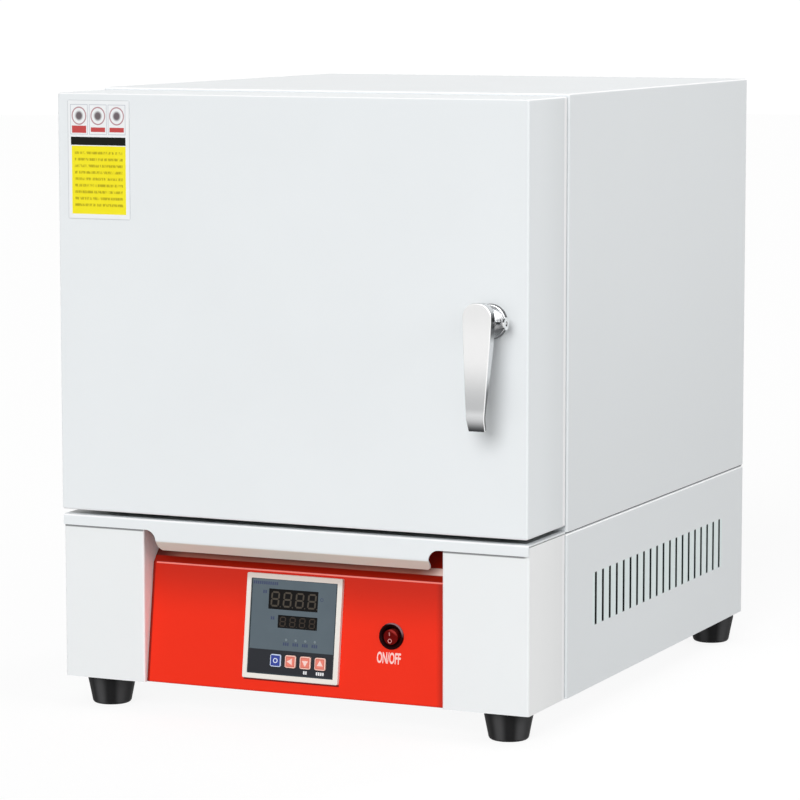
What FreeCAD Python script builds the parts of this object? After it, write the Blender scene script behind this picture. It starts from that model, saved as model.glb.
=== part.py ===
import FreeCAD, Part

import math
import os

from FreeCAD import Placement, Rotation
from FreeCAD import Vector as V

os.makedirs("parts", exist_ok=True)

# A bench-top muffle furnace: a light grey casing with a side-hung door on a base that holds the controls.
# Millimetres. X to the right, Y to the back, Z up. The origin is on the floor, under the middle of the
# furnace's overall box.

# Casing and base
body_width = 468.0
side_step = 1.5  # each side, the base front and the door are narrower than the body
front_depth = 87.0  # base front, and the room for the door above it
body_depth = 494.0  # from the seam behind the door to the back
foot_height = 28.0
base_height = 152.7
door_gap = 4.8  # between the base and the door
door_height = 384.2
casing_rise = 2.3  # casing above the top of the door
sheet = 1.5
bend_r = 2.0
top_bend_r = 2.0
rear_corner_r = 8.0
flange = 20.0
deck_recess = 2.5
fit_gap = 0.3
seam_gap = 1.0  # between the base front and the base sides
past = 10.0  # how far a cut reaches past a sheet

# Vent slots in the base sides
vent_count = 20
vent_first = 72.0  # behind the seam
vent_pitch = 18.1
vent_height = 48.5
vent_width = 4.0
vent_low = 56.5  # above the base's lower edge

# Base front: pillars, red panel, visor
pillar_width = 83.0
pillar_return = 60.0
panel_setback = 4.0
panel_lean = 7.66
panel_face = 110.8  # up the slope, from the lower edge to the fold
panel_fold = 34.0
panel_lower_flange = 14.0
lip_drop = 10.0
visor_inset = 13.0  # from the pillar's inner edge
visor_face = 20.0
visor_drop = 29.2
visor_band_depth = 8.0
visor_notch_r = 10.0
visor_tip_r = 6.0

# Feet
foot_top_r = 22.7
foot_bottom_r = 17.7
foot_neck_r = 18.0
foot_edge_r = 3.5
foot_front_inset = (31.5, 31.0)  # from the pillar's side and front
foot_rear_inset = (24.0, 31.0)  # from the base's side and back
foot_rim = 3.0
foot_seat_gap = 0.2
foot_rim_r = 0.6
foot_recess_r = 6.5
foot_recess = 12.0
foot_screw_r = 2.5
foot_screw_head_r = 4.8
foot_screw_head = 3.5
nut_height = 4.0
nut_r = 4.6

# Controller, in the plane of the leaning panel
ctrl_size = 96.0
ctrl_x = -2.4
ctrl_low = 12.2
ctrl_proud = 4.0
ctrl_frame = 4.7
ctrl_corner_r = 1.6
ctrl_lip = 0.8  # face plate behind the bezel's front
ctrl_face_thick = 1.8
ctrl_body = 90.8
ctrl_depth = 74.0
ctrl_step = 0.4
window_high = (22.7, 64.1, 49.6, 18.5)  # from the bezel's lower left corner: right, up, width, height
window_low = (33.0, 47.5, 39.6, 11.7)
window_sunk = 0.25
lamp_first = 42.5
lamp_pitch = 9.6
lamp_up = 37.1
lamp_r = 1.15
lamp_count = 4
lamp_proud = 0.3
key_names = ("set_key", "left_key", "down_key", "up_key")
key_first = 33.2
key_pitch = 14.9
key_up = 17.7
key_width = 10.8
key_height = 11.4
key_corner_r = 1.8
key_proud = 1.1
key_travel = 0.8
key_root = 2.4
key_clearance = 0.35

# Rocker switch, in the plane of the leaning panel
switch_inset = 54.5  # from the pillar's inner edge
switch_up = 60.3
switch_flange_r = 12.0
switch_proud = 2.2
switch_body_r = 10.6
switch_cavity_r = 8.2
switch_dish_r = 10.2  # the flange's sloping inside, at its front
switch_cavity = 9.0
switch_depth = 21.0
switch_hole_gap = 0.2
rocker_r = 6.9
rocker_tilt = 8.0
rocker_pivot = 3.2
rocker_front = 2.6
rocker_back = 3.0
rocker_valley = 0.8
rocker_pin_r = 1.2
rocker_pin_bite = 0.7
blade_width = 4.8
blade_thick = 0.8
blade_length = 9.0
blade_spacing = 7.0
running_gap = 0.05

# Door
door_proud = 3.6  # in front of the base front
door_seam_gap = 2.0
door_corner_r = 2.0
door_edge_r = 1.7
plug_gap = 5.0  # plug's root to the flared mouth
plug_taper = 8.0  # each side, root to tip
plug_reach = 40.0  # behind the seam
plug_hole_gap = 2.0
seal_width = 12.0
seal_inset = 17.0  # plug's root to the seal
seal_r = 1.5
seal_corner_r = 14.0
door_screw_r = 1.9
door_screw_head_r = 3.4
door_screw_head = 1.4
door_screw_length = 9.0
door_screw_rows = 3

# Door hinges
hinge_height = 80.0
hinge_inset = 70.0  # hinge middle to the door's end
hinge_leaf = 32.0
hinge_leaf_thick = 2.5
hinge_axis_out = 4.8
knuckle_r = 4.4
knuckle_gap = 0.4
knuckle_room = 0.6  # knuckle to the other leaf's edge
hinge_pin_r = 2.0
pin_head_r = 3.5
pin_head = 1.6
hinge_screw_r = 2.0
hinge_screw_head_r = 3.6
hinge_screw_head = 1.8
hinge_screw_length = 9.0
hinge_screws_each = 3

# Lever, its boss, spindle and latch
lever_inset = 35.0  # from the door's side
lever_up = 195.8  # above the base's upper face
lever_reach = 33.0  # front of the lever's head to door front
lever_flare = 3.7  # its lower end stands further out
lever_head_half = 13.5
lever_tip_half = 7.8
lever_above = 18.5
lever_below = 93.0
lever_curl_height = 11.0
lever_curl_depth = 4.6
lever_thick = 8.5
lever_tip_thick = 3.2
lever_curl_r = 14.0
lever_bend_r = 400.0
lever_head_r = 12.0
lever_rim_r = 0.9
hub_r = 10.5
boss_r = 15.6
boss_thick = 4.4
boss_edge_r = 1.2
lever_boss_gap = 0.4
spindle_r = 5.0
spindle_end_r = 4.0
bush_r = 7.0
clamp_screw_r = 1.8
clamp_screw_out = 5.0  # bare shank outside the hub
clamp_head_r = 5.6
clamp_head = 5.0
tongue_half = 14.0
tongue_width = 9.0
tongue_thick = 4.0
tongue_gap = 0.6
keeper_height = 50.0
keeper_width = 28.0
keeper_thick = 2.0
keeper_slot_gap = 3.5
latch_nut_thick = 5.0
latch_nut_r = 7.0

# Muffle, insulation and heating
chamber_width = 200.0
chamber_height = 120.0
chamber_depth = 300.0
mouth_flare = 9.0
mouth_depth = 42.0
latch_room = 18.5  # mouth block to latch tongue
mouth_opening_gap = 6.0  # frame plate edge to the flared mouth
board = 30.0
insulation_gap = 20.0  # casing wall to insulation
insulation_rear_thick = 60.0
heater_r = 2.0
heater_passes = 6
heater_pitch = 18.0
heater_end_gap = 14.0
heater_tail = 22.0
heater_wall_gap = 0.4
terminal_r = 6.0
terminal_length = 16.0
hearth_thick = 12.0
hearth_side_gap = 12.0
hearth_end_gap = 6.0
thermocouple_r = 4.0
thermocouple_reach = 40.0
thermocouple_up = 40.0
thermocouple_head_r = 17.0
thermocouple_head_length = 34.0
thermocouple_neck = 4.0
thermocouple_head_edge = 3.0
hole_gap = 0.5

# Back and base equipment
cover_thick = 1.2
cover_inset = 10.0
cover_corner_r = 4.0
cover_screw_r = 1.9
cover_screw_head_r = 3.8
cover_screw_head = 2.2
cover_screw_length = 8.0
cover_vent_count = 12
cover_vent_pitch = 20.0
cover_vent_height = 70.0
base_vent_low = 78.0  # above the base's lower edge
base_vent_height = 34.0
gland_inset = 84.0  # from the base's side
gland_up = 45.0
gland_bore_r = 4.0
gland_thread_r = 8.0
gland_hex_r = 12.0
gland_hex = 6.0
gland_reach = 24.0
gland_nut = 6.0
gland_thread = 12.0
sink_size = (70.0, 100.0)
sink_inset = 64.0  # from the base's left side
sink_back = 120.0  # behind the seam
sink_fin = 24.0
sink_plate = 6.0
sink_fin_count = 9
sink_fin_thick = 2.0
relay_size = (45.0, 58.0, 24.0)
relay_corner_r = 3.0
relay_well_r = 5.0
relay_well_inset = 7.0
relay_well = 6.0
block_size = (90.0, 28.0, 20.0)
block_inset = 104.0  # from the base's right side
block_back = 330.0  # behind the seam
block_poles = 5
block_slot = 12.0
block_wall = 2.0
label_size = (64.0, 108.4)
label_thick = 0.3
label_left = 10.5  # from the door's left edge
label_top = 6.4  # from the door's top

# Places worked out from the sizes
half_width = body_width / 2
front_half = half_width - side_step  # half the width of the base front and the door
opening_half = front_half - pillar_width
lever_x = front_half - lever_inset
switch_x = opening_half - switch_inset
gland_x = half_width - gland_inset
front_y = (lever_reach + lever_flare + door_proud - gland_reach - front_depth - body_depth) / 2
seam_y = front_y + front_depth
back_y = seam_y + body_depth
low_z = foot_height
base_top = low_z + base_height
deck_top = base_top - 0.7
deck_bottom = deck_top - sheet
door_low = base_top + door_gap
door_high = door_low + door_height
body_top = door_high + casing_rise
door_front = front_y - door_proud
door_rear = seam_y - door_seam_gap
plate_front = seam_y + sheet  # front face of the frame plate
plate_rear = plate_front + sheet
chamber_z = (door_low + door_high) / 2
floor_low = low_z + sheet
floor_top = floor_low + sheet
lever_z = base_top + lever_up
panel_half = opening_half - fit_gap
plug_width = chamber_width + 2 * (mouth_flare - plug_gap)
plug_height = chamber_height + 2 * (mouth_flare - plug_gap)
muffle_rear_y = plate_rear + chamber_depth
insulation_rear_y = muffle_rear_y + board + insulation_rear_thick


def box(x, y, z):
    """A block between pairs of low and high values."""
    return Part.makeBox(x[1] - x[0], y[1] - y[0], z[1] - z[0], V(x[0], y[0], z[0]))


def rod(radius, start, end):
    """A round bar between two points."""
    return Part.makeCylinder(radius, (end - start).Length, start, end - start)


def in_plan(z):
    return lambda u, v: V(u, v, z)


def in_front(y):
    return lambda u, v: V(u, y, v)


def in_side(x):
    return lambda u, v: V(x, u, v)


def outline(corners, place):
    """A closed wire through corners (u, v, radius), each rounded by its radius."""
    ends = []
    for i, (u, v, radius) in enumerate(corners):
        here = V(u, v, 0)
        if not radius:
            ends.append((here,))
            continue
        before = corners[i - 1]
        after = corners[(i + 1) % len(corners)]
        to_before = (V(before[0], before[1], 0) - here).normalize()
        to_after = (V(after[0], after[1], 0) - here).normalize()
        half = to_before.getAngle(to_after) / 2
        middle = (to_before + to_after).normalize()
        reach = radius / math.tan(half)
        bulge = radius / math.sin(half) - radius
        ends.append((here + to_before * reach, here + middle * bulge, here + to_after * reach))
    edges = []
    for i, points in enumerate(ends):
        start = ends[i - 1][-1]
        if start.distanceToPoint(points[0]) > 1e-6:
            edges.append(Part.LineSegment(place(start.x, start.y), place(points[0].x, points[0].y)))
        if len(points) == 3:
            edges.append(Part.Arc(*[place(p.x, p.y) for p in points]))
    return Part.Wire([edge.toShape() for edge in edges])


def prism(corners, place, along):
    """The outline's face, carried along a vector."""
    return Part.Face(outline(corners, place)).extrude(along)


def rectangle(u, v, radius=0.0):
    """Corners of a rectangle between pairs of low and high values."""
    return [(u[0], v[0], radius), (u[1], v[0], radius), (u[1], v[1], radius), (u[0], v[1], radius)]


def sheet_corners(path, radii, thickness=sheet):
    """Corners of a bent sheet: path is its outer line, and the metal lies to the left of it."""
    near, far = [], []
    for i, point in enumerate(path):
        here = V(*point, 0)
        before = (here - V(*path[i - 1], 0)).normalize() if i else None
        after = (V(*path[i + 1], 0) - here).normalize() if i < len(path) - 1 else None
        first = before or after
        last = after or before
        n1 = V(-first.y, first.x, 0)
        n2 = V(-last.y, last.x, 0)
        offset = (n1 + n2) * (thickness / (1 + n1.dot(n2)))
        radius = radii[i - 1] if before and after else 0.0
        left_turn = first.cross(last).z >= 0
        inner = max(radius - thickness, 0.0)
        near.append((here.x, here.y, radius if left_turn else inner))
        far.append((here.x + offset.x, here.y + offset.y, inner if left_turn else radius))
    return near + far[::-1]


def edges_at(shape, axis, value):
    """Edges that lie in the plane where that axis has that value."""
    found = []
    for edge in shape.Edges:
        bounds = edge.BoundBox
        low = (bounds.XMin, bounds.YMin, bounds.ZMin)[axis]
        high = (bounds.XMax, bounds.YMax, bounds.ZMax)[axis]
        if abs(low - value) < 1e-3 and abs(high - value) < 1e-3:
            found.append(edge)
    return found


def mirrored(shape):
    """The same piece on the other side."""
    return shape.mirror(V(0, 0, 0), V(1, 0, 0))


def leaned(shape):
    """Sets a shape built upright at the panel's foot into the plane of the leaning panel."""
    moved = shape.copy()
    lean = Placement(V(0, front_y + panel_setback, low_z), Rotation(V(1, 0, 0), -panel_lean))
    moved.Placement = lean.multiply(moved.Placement)
    return moved


def screw(head_r, head, shank_r, length, seat, along):
    """A pan-head screw whose head sits on seat and whose shank runs along a unit vector."""
    cap = rod(head_r, seat - along * head, seat)
    outer = [e for e in cap.Edges if e.Length < 2 * math.pi * head_r * 1.01 and e.Closed]
    top = min(outer, key=lambda e: e.CenterOfMass.dot(along))
    cap = cap.makeFillet(head * 0.45, [top])
    return cap.fuse(rod(shank_r, seat, seat + along * length)).removeSplitter()


def hex_nut(radius, bore_r, start, end):
    """A hexagonal nut along Y or Z, by its corner radius."""
    along = end - start
    side = V(1, 0, 0)
    up = along.cross(side).normalize()
    turns = [math.radians(60 * i) for i in range(6)]
    points = [start + side * (radius * math.cos(a)) + up * (radius * math.sin(a)) for a in turns]
    body = Part.Face(Part.makePolygon(points + points[:1])).extrude(along)
    return body.cut(rod(bore_r, start - along, end + along))


def wrap(z0, z1, edge_r):
    """The casing's outside between two heights, with its upper edges bent by edge_r."""
    corners = [
        (-half_width, seam_y, bend_r),
        (half_width, seam_y, bend_r),
        (half_width, back_y, rear_corner_r),
        (-half_width, back_y, rear_corner_r),
    ]
    solid = prism(corners, in_plan(z0), V(0, 0, z1 - z0))
    return solid.makeFillet(edge_r, edges_at(solid, 2, z1))


def wrap_inside(z0, z1):
    """The room inside the casing's walls."""
    corners = [
        (-half_width + sheet, seam_y + sheet, bend_r - sheet),
        (half_width - sheet, seam_y + sheet, bend_r - sheet),
        (half_width - sheet, back_y - sheet, rear_corner_r - sheet),
        (-half_width + sheet, back_y - sheet, rear_corner_r - sheet),
    ]
    return prism(corners, in_plan(z0), V(0, 0, z1 - z0))


def outer_casing():
    """Top and sides of the furnace body, one bent sheet with flanges turned in at its four open edges."""
    shell = wrap(deck_top, body_top, top_bend_r)
    shell = shell.cut(wrap_inside(deck_top + sheet, body_top - sheet))
    inner = half_width - flange
    through = box((-inner, inner), (seam_y - 1, back_y + 1), (deck_top + flange, body_top - flange))
    below = box((-inner, inner), (seam_y + flange, back_y - flange), (deck_top - 1, deck_top + 2 * sheet))
    shell = shell.cut(through.fuse(below))
    shell = shell.cut(hinge_screw_holes(1))
    return shell.cut(cover_screw_shanks(0.2))


def base_side():
    """Right side panel of the base, bent round at its front, back and top, with vent slots."""
    shell = wrap(low_z, deck_bottom, top_bend_r)
    shell = shell.cut(wrap_inside(low_z - 1, deck_bottom - sheet))
    shell = shell.common(box((half_width - flange, half_width + 1), (seam_y - 1, back_y + 1), (0, deck_top)))
    half = vent_width / 2
    low = low_z + vent_low
    for i in range(vent_count):
        y = seam_y + vent_first + i * vent_pitch
        slot = rectangle((y - half, y + half), (low, low + vent_height), half * 0.999)
        shell = shell.cut(prism(slot, in_side(half_width - 2 * sheet), V(3 * sheet, 0, 0)))
    return shell


def deck_plate():
    """Plate between the base and the body. Its edge shows as the dark line of the seam."""
    x = half_width - deck_recess
    return box((-x, x), (seam_y + deck_recess, back_y - deck_recess), (deck_bottom, deck_top))


def mouth_hole(y0, y1, grow):
    """The flared mouth's front outline carried back, grown on every side."""
    x = chamber_width / 2 + mouth_flare + grow
    z = chamber_height / 2 + mouth_flare + grow
    return box((-x, x), (y0, y1), (chamber_z - z, chamber_z + z))


def latch_slot(y0, y1, grow):
    """The upright slot that the latch tongue passes through."""
    half = tongue_width / 2 + keeper_slot_gap + grow
    tall = tongue_half + keeper_slot_gap + grow
    x = (lever_x - half, lever_x + half)
    return prism(rectangle(x, (lever_z - tall, lever_z + tall), 2.0), in_front(y0), V(0, y1 - y0, 0))


def front_frame():
    """Plate that closes the front of the body round the mouth, behind the casing's flange."""
    x = half_width - bend_r - fit_gap
    plate = box((-x, x), (plate_front, plate_rear), (deck_top + sheet + fit_gap, body_top - sheet - fit_gap))
    plate = plate.cut(mouth_hole(plate_front - 1, plate_rear + 1, mouth_opening_gap))
    return plate.cut(latch_slot(plate_front - 1, plate_rear + 1, 1.0))


def latch_keeper():
    """Slotted plate on the frame that the turned tongue holds on to."""
    x = (lever_x - keeper_width / 2, lever_x + keeper_width / 2)
    z = (lever_z - keeper_height / 2, lever_z + keeper_height / 2)
    plate = prism(rectangle(x, z, 3.0), in_front(plate_front - keeper_thick), V(0, keeper_thick, 0))
    return plate.cut(latch_slot(plate_front - keeper_thick - 1, plate_front + 1, 0.0))


def base_floor():
    """Bottom plate of the base, slotted round the pillars and the side panels' flanges."""
    front_x = front_half - sheet - fit_gap
    rear_x = half_width - sheet - fit_gap
    front = front_y + 2 * panel_setback
    rear = back_y - sheet - fit_gap
    corners = [
        (-front_x, front, 0),
        (front_x, front, 0),
        (front_x, seam_y, 0),
        (rear_x, seam_y, 0),
        (rear_x, rear, rear_corner_r),
        (-rear_x, rear, rear_corner_r),
        (-rear_x, seam_y, 0),
        (-front_x, seam_y, 0),
    ]
    plate = prism(corners, in_plan(floor_low), V(0, 0, sheet))
    flange_x = front_half - flange - fit_gap
    wall_x = opening_half
    for side in (-1, 1):
        for a, b, y0, y1 in (
            (flange_x, half_width, seam_y - bend_r - 2 * sheet, seam_y + bend_r + fit_gap),
            (wall_x - fit_gap, wall_x + sheet + fit_gap, front_y, front_y + pillar_return + fit_gap),
        ):
            ends = sorted((side * a, side * b))
            plate = plate.cut(box(ends, (y0, y1), (low_z, floor_top + 1)))
    for x, y in foot_places():
        plate = plate.cut(rod(foot_screw_r + 0.2, V(x, y, low_z), V(x, y, floor_top + 1)))
    return plate


def pillar():
    """Right front pillar: inner wall, front, side and a rear flange, one bent sheet."""
    rear = seam_y - seam_gap
    path = [
        (opening_half, front_y + pillar_return),
        (opening_half, front_y),
        (front_half, front_y),
        (front_half, rear),
        (front_half - flange, rear),
    ]
    corners = sheet_corners(path, [bend_r, bend_r, bend_r])
    return prism(corners, in_plan(low_z), V(0, 0, base_top - bend_r - fit_gap - low_z))


def visor_sheet():
    """Top of the base front with its lip, and the visor that hangs over the red panel."""
    front = front_y - sheet
    path = [
        (seam_y - seam_gap, base_top),
        (front, base_top),
        (front, base_top - visor_face),
        (front + visor_band_depth, base_top - visor_drop),
    ]
    corners = sheet_corners(path, [bend_r, 2 * bend_r])
    bent = prism(corners, in_side(-front_half), V(2 * front_half, 0, 0))
    wide = front_half + 1
    half = opening_half - visor_inset
    low = base_top - visor_drop - 0.6
    shape = [
        (-wide, base_top + 1, 0),
        (-wide, base_top - lip_drop, 0),
        (-half, base_top - lip_drop, visor_notch_r),
        (-half, low, visor_tip_r),
        (half, low, visor_tip_r),
        (half, base_top - lip_drop, visor_notch_r),
        (wide, base_top - lip_drop, 0),
        (wide, base_top + 1, 0),
    ]
    return bent.common(prism(shape, in_front(front - 1), V(0, front_depth + past, 0)))


def control_panel():
    """Red panel: lower flange, leaning face, and a strip folded further back behind the visor."""
    lean = math.radians(panel_lean)
    fold = math.radians(panel_lean + panel_fold)
    foot = (front_y + panel_setback, low_z)
    knee = (foot[0] + panel_face * math.sin(lean), foot[1] + panel_face * math.cos(lean))
    rise = base_top - sheet - fit_gap - 1.0 - knee[1]
    head = (knee[0] + rise * math.tan(fold), knee[1] + rise)
    path = [head, knee, foot, (foot[0] + panel_lower_flange, foot[1])]
    panel = prism(sheet_corners(path, [bend_r, sheet]), in_side(-panel_half), V(2 * panel_half, 0, 0))
    grow = ctrl_body / 2 + ctrl_step
    middle_z = ctrl_low + ctrl_size / 2
    cutout = box((ctrl_x - grow, ctrl_x + grow), (-past, past), (middle_z - grow, middle_z + grow))
    reach = V(0, past, 0)
    middle = V(switch_x, 0, switch_up)
    hole = rod(switch_body_r + switch_hole_gap, middle - reach, middle + reach)
    return panel.cut(leaned(cutout.fuse(hole)))


def foot_places():
    """Middles of the four feet."""
    front_x = front_half - foot_front_inset[0]
    rear_x = half_width - foot_rear_inset[0]
    front = front_y + foot_front_inset[1]
    rear = back_y - foot_rear_inset[1]
    return [(-front_x, front), (front_x, front), (-rear_x, rear), (rear_x, rear)]


def rubber_feet():
    """Four tapered rubber feet with a recess for their screws."""
    corners = [
        (0, 0, 0),
        (foot_bottom_r, 0, foot_edge_r),
        (foot_top_r, low_z - foot_rim, 0),
        (foot_top_r, low_z - foot_seat_gap, foot_rim_r),
        (foot_neck_r, low_z - foot_seat_gap, 0),
        (foot_neck_r, floor_low, 0),
        (0, floor_low, 0),
    ]
    one = Part.Face(outline(corners, in_front(0))).revolve(V(0, 0, 0), V(0, 0, 1), 360)
    one = one.cut(rod(foot_recess_r, V(0, 0, -1), V(0, 0, foot_recess)))
    one = one.cut(rod(foot_screw_r + 0.2, V(0, 0, -1), V(0, 0, floor_low + 1)))
    return [one.translated(V(x, y, 0)) for x, y in foot_places()]


def foot_screws():
    """A screw and nut for each foot."""
    pieces = []
    for x, y in foot_places():
        seat = V(x, y, foot_recess)
        length = floor_top + nut_height + 2 - foot_recess
        pieces.append(screw(foot_screw_head_r, foot_screw_head, foot_screw_r, length, seat, V(0, 0, 1)))
        low = V(x, y, floor_top)
        pieces.append(hex_nut(nut_r, foot_screw_r + running_gap, low, low + V(0, 0, nut_height)))
    return pieces


def ctrl_square(half, y0, y1, radius=0.0):
    """A square block about the controller's middle, between two depths."""
    x = (ctrl_x - half, ctrl_x + half)
    middle = ctrl_low + ctrl_size / 2
    return prism(rectangle(x, (middle - half, middle + half), radius), in_front(y0), V(0, y1 - y0, 0))


def controller_bezel():
    """Square frame round the controller's face."""
    ring = ctrl_square(ctrl_size / 2, -ctrl_proud, 0, ctrl_corner_r)
    ring = ring.makeFillet(0.7, edges_at(ring, 1, -ctrl_proud))
    ring = ring.cut(ctrl_square(ctrl_size / 2 - ctrl_frame, -ctrl_proud - 1, 1))
    return leaned(ring.cut(ctrl_square(ctrl_body / 2 + 0.2, -ctrl_proud + ctrl_lip, 1)))


def ctrl_rect(u, v, width, height, y0, y1, radius=0.0):
    """A block on the controller, measured from the bezel's lower left corner."""
    x = ctrl_x - ctrl_size / 2 + u
    z = ctrl_low + v
    return prism(rectangle((x, x + width), (z, z + height), radius), in_front(y0), V(0, y1 - y0, 0))


def key_block(index, grow, y0, y1):
    """One key's outline carried between two depths, grown on every side."""
    u = key_first + index * key_pitch - key_width / 2 - grow
    v = key_up - key_height / 2 - grow
    size = (key_width + 2 * grow, key_height + 2 * grow)
    return ctrl_rect(u, v, *size, y0, y1, key_corner_r + grow)


def lamp_rod(index, radius, y0, y1):
    """One lamp's round outline carried between two depths."""
    x = ctrl_x - ctrl_size / 2 + lamp_first + index * lamp_pitch
    z = ctrl_low + lamp_up
    return rod(radius, V(x, y0, z), V(x, y1, z))


face_front = -ctrl_proud + ctrl_lip
face_rear = face_front + ctrl_face_thick


def controller_face():
    """Face plate with openings for the displays, lamps and keys."""
    plate = ctrl_square(ctrl_body / 2, face_front, face_rear)
    for window in (window_high, window_low):
        plate = plate.cut(ctrl_rect(*window, face_front - 1, face_rear + 1))
    for i in range(lamp_count):
        plate = plate.cut(lamp_rod(i, lamp_r + running_gap, face_front - 1, face_rear + 1))
    for i in range(len(key_names)):
        plate = plate.cut(key_block(i, key_clearance, face_front - 1, face_rear + 1))
    return leaned(plate)


def controller_housing():
    """Box behind the panel that holds the controller, with pockets behind its keys."""
    case = ctrl_square(ctrl_body / 2, face_rear, ctrl_depth, 1.0)
    for i in range(len(key_names)):
        pocket = face_front + key_root + key_travel + 2 * key_clearance
        case = case.cut(key_block(i, key_clearance, face_rear - 1, pocket))
    return leaned(case)


def display_windows():
    """Two dark windows let into the face plate."""
    return [
        leaned(ctrl_rect(*window, face_front + window_sunk, face_rear))
        for window in (window_high, window_low)
    ]


def indicator_lamps():
    """Four small round lamps in the face plate."""
    lamps = []
    for i in range(lamp_count):
        lamp = lamp_rod(i, lamp_r, face_front - lamp_proud, face_rear)
        lamp = lamp.makeFillet(lamp_proud * 0.9, edges_at(lamp, 1, face_front - lamp_proud))
        lamps.append(leaned(lamp))
    return lamps


def controller_key(index):
    """One key: a rounded cap that passes through the face plate."""
    key = key_block(index, 0.0, face_front - key_proud, face_front + key_root)
    key = key.makeFillet(0.5, edges_at(key, 1, face_front - key_proud))
    return leaned(key)


def switch_body():
    """Round switch: flange on the panel, body behind it, and a cavity for the rocker."""
    middle = V(switch_x, 0, switch_up)
    front = middle - V(0, switch_proud, 0)
    ring = rod(switch_flange_r, front, middle)
    ring = ring.makeFillet(switch_proud * 0.7, edges_at(ring, 1, -switch_proud))
    body = ring.fuse(rod(switch_body_r, middle, middle + V(0, switch_depth, 0)))
    body = body.cut(Part.makeCone(switch_dish_r, switch_cavity_r, switch_proud, front, V(0, 1, 0)))
    body = body.cut(rod(switch_cavity_r, middle - V(0, past, 0), middle + V(0, switch_cavity, 0)))
    pivot = middle + V(0, rocker_pivot, 0)
    pin_end = V(switch_cavity_r + rocker_pin_bite + 0.2, 0, 0)
    return leaned(body.cut(rod(rocker_pin_r + running_gap, pivot - pin_end, pivot + pin_end)))


def switch_blades():
    """Two terminal blades at the back of the switch."""
    blades = []
    for side in (-1, 1):
        x = switch_x - blade_width / 2
        z = switch_up + side * blade_spacing / 2
        y = (switch_depth, switch_depth + blade_length)
        blades.append(leaned(box((x, x + blade_width), y, (z - blade_thick / 2, z + blade_thick / 2))))
    return blades


def switch_rocker():
    """Round rocker with a shallow valley across its front, tipped to its OFF side, on two pins."""
    half = rocker_r + 1.0
    front = -rocker_front
    profile = [
        (front, half, 0),
        (front + rocker_valley, 0, 0),
        (front, -half, 0),
        (rocker_pivot, -half, 0),
        (rocker_pivot + rocker_back, 0, 0),
        (rocker_pivot, half, 0),
    ]
    rocker = prism(profile, in_side(-half), V(2 * half, 0, 0))
    rocker = rocker.common(rod(rocker_r, V(0, -past, 0), V(0, past, 0)))
    end = V(switch_cavity_r + rocker_pin_bite, 0, 0)
    pivot = V(0, rocker_pivot, 0)
    rocker = rocker.fuse(rod(rocker_pin_r, pivot - end, pivot + end))
    rocker.rotate(pivot, V(1, 0, 0), rocker_tilt)
    rocker.translate(V(switch_x, 0, switch_up))
    return leaned(rocker)


def door_shell():
    """Door's outer skin: front, four sides, and a flange turned in at the back."""
    corners = rectangle((-front_half, front_half), (door_low, door_high), door_corner_r)
    shell = prism(corners, in_front(door_front), V(0, door_rear - door_front, 0))
    shell = shell.makeFillet(door_edge_r, edges_at(shell, 1, door_front))
    x = front_half - sheet
    shell = shell.cut(
        box((-x, x), (door_front + sheet, door_rear - sheet), (door_low + sheet, door_high - sheet))
    )
    x = front_half - flange
    shell = shell.cut(
        box((-x, x), (door_rear - 2 * sheet, door_rear + 1), (door_low + flange, door_high - flange))
    )
    shell = shell.cut(spindle_line(bush_r + 0.2, door_front - 1, door_front + 2 * sheet))
    shell = shell.cut(hinge_screw_holes(-1))
    return shell.cut(door_screw_shanks(0.2))


def spindle_line(radius, y0, y1):
    """A round bar on the lever's axis."""
    return rod(radius, V(lever_x, y0, lever_z), V(lever_x, y1, lever_z))


def door_back_plate():
    """Plate behind the door's flange, open round the plug and the bush."""
    x = front_half - sheet - fit_gap
    z = (door_low + sheet + fit_gap, door_high - sheet - fit_gap)
    plate = box((-x, x), (door_rear - 2 * sheet, door_rear - sheet), z)
    half_x = plug_width / 2 + plug_hole_gap
    half_z = plug_height / 2 + plug_hole_gap
    y = (door_rear - past, door_rear)
    opening = box((-half_x, half_x), y, (chamber_z - half_z, chamber_z + half_z))
    plate = plate.cut(opening.fuse(spindle_line(bush_r + 0.2, *y)))
    return plate.cut(door_screw_shanks(0.2))


def door_insulation():
    """Fibre board that fills the door."""
    x = front_half - sheet - fit_gap
    y = (door_front + sheet + fit_gap, door_rear - 2 * sheet)
    fill = box((-x, x), y, (door_low + sheet + fit_gap, door_high - sheet - fit_gap))
    fill = fill.cut(spindle_line(bush_r + 0.2, y[0] - 1, y[1] + 1))
    fill = fill.cut(door_screw_shanks(0.4))
    return fill.cut(hinge_screw_holes(-1))


def door_plug():
    """Tapered ceramic plug that enters the mouth."""
    root_y = door_rear - 2 * sheet
    tip_y = seam_y + plug_reach
    root = rectangle_wire(plug_width / 2, plug_height / 2, root_y, 4.0)
    tip = rectangle_wire(plug_width / 2 - plug_taper, plug_height / 2 - plug_taper, tip_y, 4.0)
    return Part.makeLoft([root, tip], True, True)


def rectangle_wire(half_x, half_z, y, radius):
    """A rounded rectangle about the chamber's axis."""
    z = (chamber_z - half_z, chamber_z + half_z)
    return outline(rectangle((-half_x, half_x), z, radius), in_front(y))


def door_seal():
    """Ceramic fibre rope laid round the plug on the door's back plate."""
    front = door_rear - sheet
    rear = plate_front - fit_gap
    inner_x = plug_width / 2 + seal_inset
    inner_z = plug_height / 2 + seal_inset
    outer_x = inner_x + seal_width
    outer_z = inner_z + seal_width
    inner = Part.Face(rectangle_wire(inner_x, inner_z, front, seal_corner_r))
    outer = Part.Face(rectangle_wire(outer_x, outer_z, front, seal_corner_r + seal_width))
    ring = outer.extrude(V(0, rear - front, 0)).cut(inner.extrude(V(0, rear - front, 0)))
    return ring.makeFillet(seal_r, edges_at(ring, 1, rear))


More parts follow.
